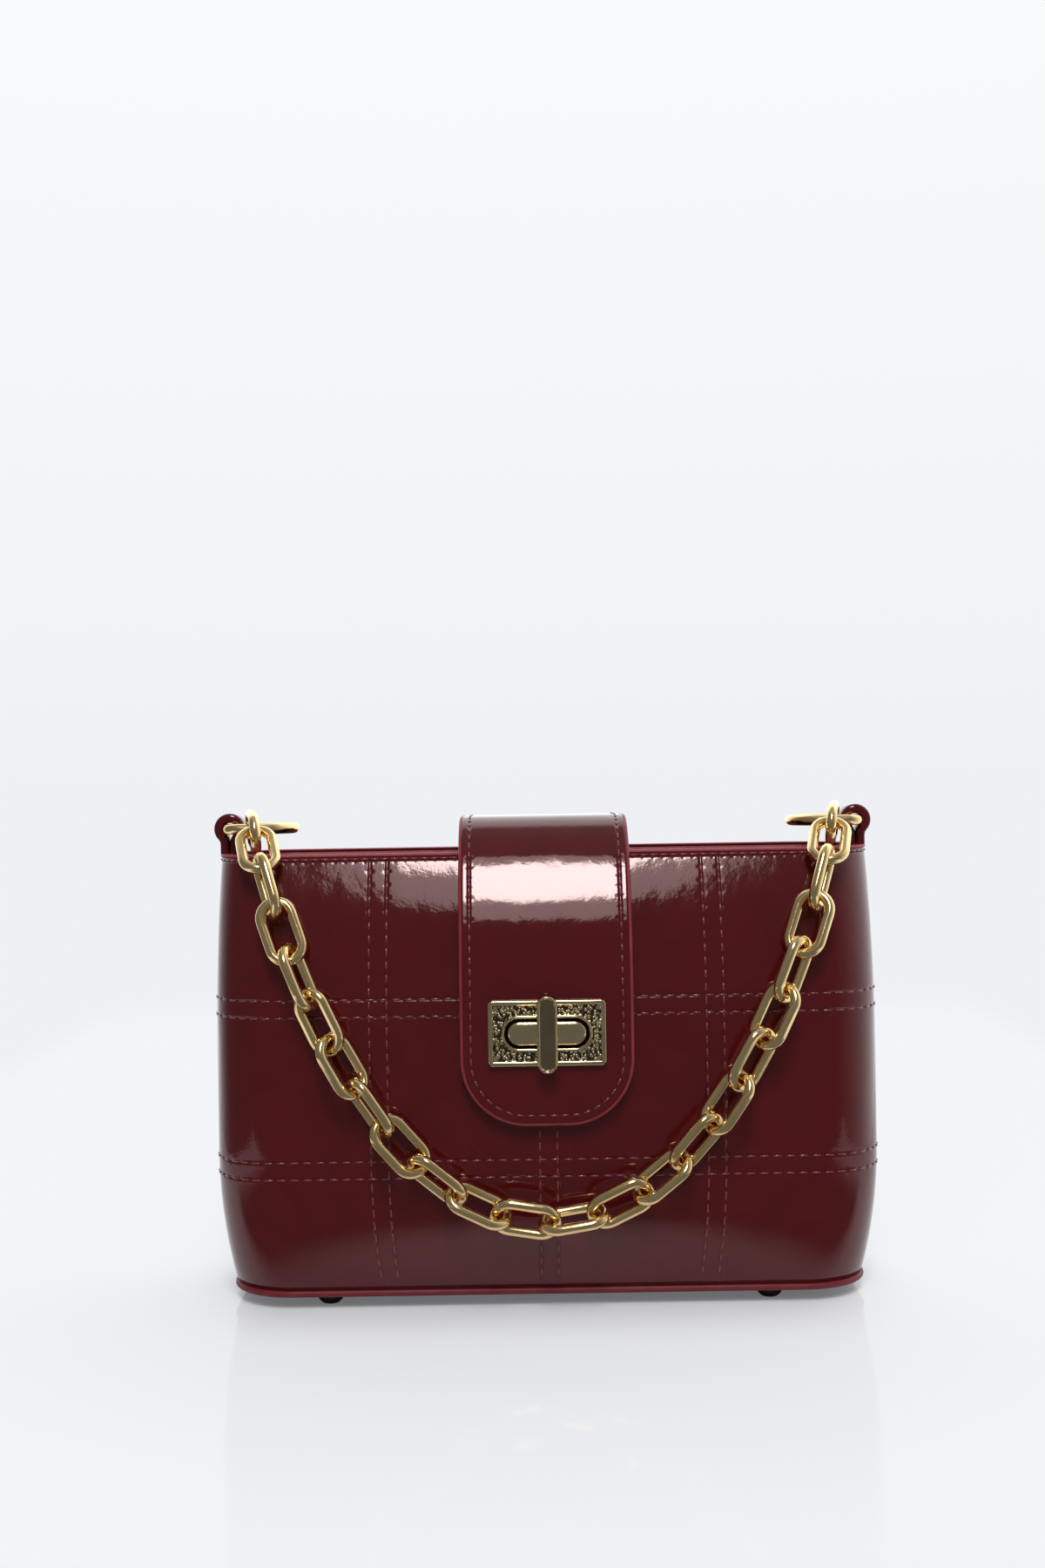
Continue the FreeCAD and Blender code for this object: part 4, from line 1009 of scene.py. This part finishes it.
# Link: a path of two half circles and two straight runs in the solid's own axes.
def makeLink(node):
    k = linkShape
    middle, axes, half = solidFrame(node)
    radius = half[1] - k["wire"] / 2
    straight = half[0] - half[1]
    turn = np.linspace(-math.pi / 2, math.pi / 2, k["arc"])
    oblong = arc(radius, turn) + (straight, 0)
    path = middle + np.concatenate([oblong, -oblong]) @ axes[:2]
    out = np.concatenate([arc(1, turn), -arc(1, turn)]) @ axes[:2]
    rings = carried(path, out, axes[2][None], wireSection(k))
    piece = ringPiece(node + "_wire", rings, [gold], "chain", loop=True, sharp=None)
    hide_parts(node)


for number in range(1, linkShape["count"] + 1):
    makeLink(f"chain_link_{number:02d}")
print("rings and chain made")

# Small CAD pieces that keep their own shape.
plainNodes = {"base_board": board, "base_feet": darkFitting, "foot_washers": darkFitting,
              "lock_back_plate": darkFitting, "lock_clip": darkFitting, "lock_rivets": lockGold}
for node, material in plainNodes.items():
    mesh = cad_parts[node].data
    mesh.materials.clear()
    mesh.materials.append(material)

# Camera: level, on the photograph's side, 620 mm before the middle plane.
cameraPlace = {
    "x": -6.4, "distance": 620.0, "z": 166.6, "roll": 0.9,
    "focalPixels": 2119.0, "imageHeight": 1800, "sensor": 36.0, "near": 0.01,
}
cameraData = bpy.data.cameras.new("camera")
cameraData.sensor_fit = "VERTICAL"
cameraData.sensor_height = cameraPlace["sensor"]
cameraData.lens = cameraPlace["focalPixels"] / cameraPlace["imageHeight"] * cameraPlace["sensor"]
cameraData.clip_start = cameraPlace["near"]
camera = bpy.data.objects.new("camera", cameraData)
camera.location = (cameraPlace["x"] * mm, (bagY - cameraPlace["distance"]) * mm, cameraPlace["z"] * mm)
camera.rotation_euler = (math.pi / 2, math.radians(cameraPlace["roll"]), 0)
bpy.context.collection.objects.link(camera)
bpy.context.scene.camera = camera

# Floor: a pale glossy table top that runs far back, in metres.
floorShape = {
    "halfWidth": 0.34, "front": -0.25, "back": 3.4, "fade": 0.09,
    "cool": (0.825, 0.84, 0.865, 1), "warm": (0.835, 0.845, 0.86, 1), "cloud": 6.0,
    "gloss": 1.14, "mirror": 0.07, "far": (0.855, 0.872, 0.902, 1), "farRing": (0.36, 0.95),
    "foot": (0.080, 0.020), "footShade": 0.05, "underLift": 0.16, "lift": 0.6,
    "pool": (0.105, 0.072), "poolEdge": (0.85, 1.15), "poolFront": (0.025, 0.042), "poolSide": (0.15, 0.25),
    "dim": 0.17,
}


# Level quad: white with a faint mirror near the bag. Eyes and mirrors see it turn into an even pale glow
# with distance, and eyes also at its rim and partly all over, least under the bag. In front of the bag,
# past an oval pool of light, mirrors see a dim table.
def makeFloor():
    f = floorShape
    wide, front, back = f["halfWidth"], f["front"], f["back"]
    corners = [[-wide, front, 0], [wide, front, 0], [wide, back, 0], [-wide, back, 0]]
    material, start, place = newFinish("pale_table")
    color = place.noise(f["cloud"]).blendColor(f["cool"], f["warm"])
    matt = start.node("ShaderNodeBsdfDiffuse", None, {"Color": color})
    mirror = start.node("ShaderNodeBsdfGlossy", None, {"Color": (1, 1, 1, 1), "Roughness": f["mirror"]})
    skim = start.node("ShaderNodeFresnel", None, {"IOR": f["gloss"]})
    table = start.node("ShaderNodeMixShader", None, {0: skim, 1: matt, 2: mirror})
    glow, dim = [start.node("ShaderNodeEmission", None, {"Color": f["far"], "Strength": strength})
                 for strength in (1.0, f["dim"])]
    eye, mirrored, through = [start.node("ShaderNodeLightPath", out=ray)
                              for ray in ("Is Camera Ray", "Is Glossy Ray", "Is Transmission Ray")]
    seen = eye.math("MAXIMUM", mirrored).math("MAXIMUM", through)
    far = start.node("ShaderNodeVectorMath", {"operation": "LENGTH"}, {0: place}, "Value").rise(*f["farRing"])
    across, deep = place.parts()[:2]
    rim = (abs(across) - wide).math("MAXIMUM", deep * -1 + front).rise(-f["fade"], 0.0)
    clear = (abs(across) - f["foot"][0]).math("MAXIMUM", 0.0).hypot(deep) - f["foot"][1]
    lift = clear.rise(0.0, f["footShade"], f["underLift"], f["lift"])
    share = (far * seen).math("MAXIMUM", eye * rim.math("MAXIMUM", lift))
    shader = start.node("ShaderNodeMixShader", None, {0: share, 1: table, 2: glow})
    unlit = (across / f["pool"][0]).hypot(deep / f["pool"][1]).rise(*f["poolEdge"])
    unlit = unlit * (deep * -1).rise(*f["poolFront"]) * (1 - abs(across).rise(*f["poolSide"])) * mirrored
    shader = start.node("ShaderNodeMixShader", None, {0: unlit, 1: shader, 2: dim})
    start.node("ShaderNodeOutputMaterial", None, {"Surface": shader})
    mesh = bpy.data.meshes.new("table_top")
    mesh.from_pydata(corners, [], [[0, 1, 2, 3]])
    mesh.materials.append(material)
    floor = bpy.data.objects.new("table_top", mesh)
    bpy.context.collection.objects.link(floor)


makeFloor()

# World: a pale backdrop behind and on the right, a dim ceiling and a dark room in front.
worldLook = {
    "low": (0.855, 0.872, 0.902, 1), "high": (0.945, 0.957, 0.967, 1), "highAt": 0.39,
    "rightFrom": (0.6, 2.4), "leftFrom": (1.7, 2.75), "ceilingFrom": (0.82, 0.92),
    "ceiling": 0.38, "room": 0.17, "wall": 1.5,
}


# Strength by direction: angle round the upright axis (0 at the camera, half a turn behind) and height.
# The camera itself sees the plain colour.
def makeWorld():
    w = worldLook
    world = bpy.data.worlds.new("studio")
    bpy.context.scene.world = world
    world.use_nodes = True
    world.node_tree.nodes.clear()
    start = Wire(world.node_tree)
    x, y, z = start.node("ShaderNodeTexCoord", out="Generated").parts()
    angle = x.math("ARCTAN2", y * -1)
    side = angle.rise(*w["rightFrom"]).math("MAXIMUM", (angle * -1).rise(*w["leftFrom"]))
    above = z.rise(*w["ceilingFrom"])
    strength = (1 - above) * (side * (w["wall"] - w["room"]) + w["room"]) + above * w["ceiling"]
    eye = start.node("ShaderNodeLightPath", out="Is Camera Ray")
    color = (z / w["highAt"]).math("MAXIMUM", 0.0).math("MINIMUM", 1.0).blendColor(w["low"], w["high"])
    shader = start.node("ShaderNodeBackground", None, {"Color": color, "Strength": eye + (1 - eye) * strength})
    start.node("ShaderNodeOutputWorld", None, {"Surface": shader})


makeWorld()

# Lamps: angle above the level, distance in m, half angles across and up, watts, and whether mirrors show it.
softBoxes = {
    "soft_box_middle": (47.5, 2.60, 6.2, 9.5, 24.0, True),
    "soft_box_rim": (45.0, 2.59, 8.4, 16.5, 8.6, True),
    "soft_fill": (45.0, 2.58, 22.0, 22.0, 20.0, False),
}
lampAim = {"y": -0.04, "z": 0.13}


# Oval soft box that looks at the aim from its distance and height, as large as its half angles ask.
def softBox(name, height, distance, wide, tall, power, mirrored):
    lamp = bpy.data.lights.new(name, "AREA")
    lamp.shape = "ELLIPSE"
    lamp.size = 2 * distance * math.tan(math.radians(wide))
    lamp.size_y = 2 * distance * math.tan(math.radians(tall))
    lamp.energy = power
    box = bpy.data.objects.new(name, lamp)
    up = math.radians(height)
    box.location = (0.0, lampAim["y"] - distance * math.cos(up), lampAim["z"] + distance * math.sin(up))
    box.rotation_euler = (math.pi / 2 - up, 0, 0)
    box.visible_glossy = mirrored
    bpy.context.collection.objects.link(box)


for name, values in softBoxes.items():
    softBox(name, *values)
bpy.context.scene.view_settings.view_transform = "Standard"
print("camera, floor and lights set")
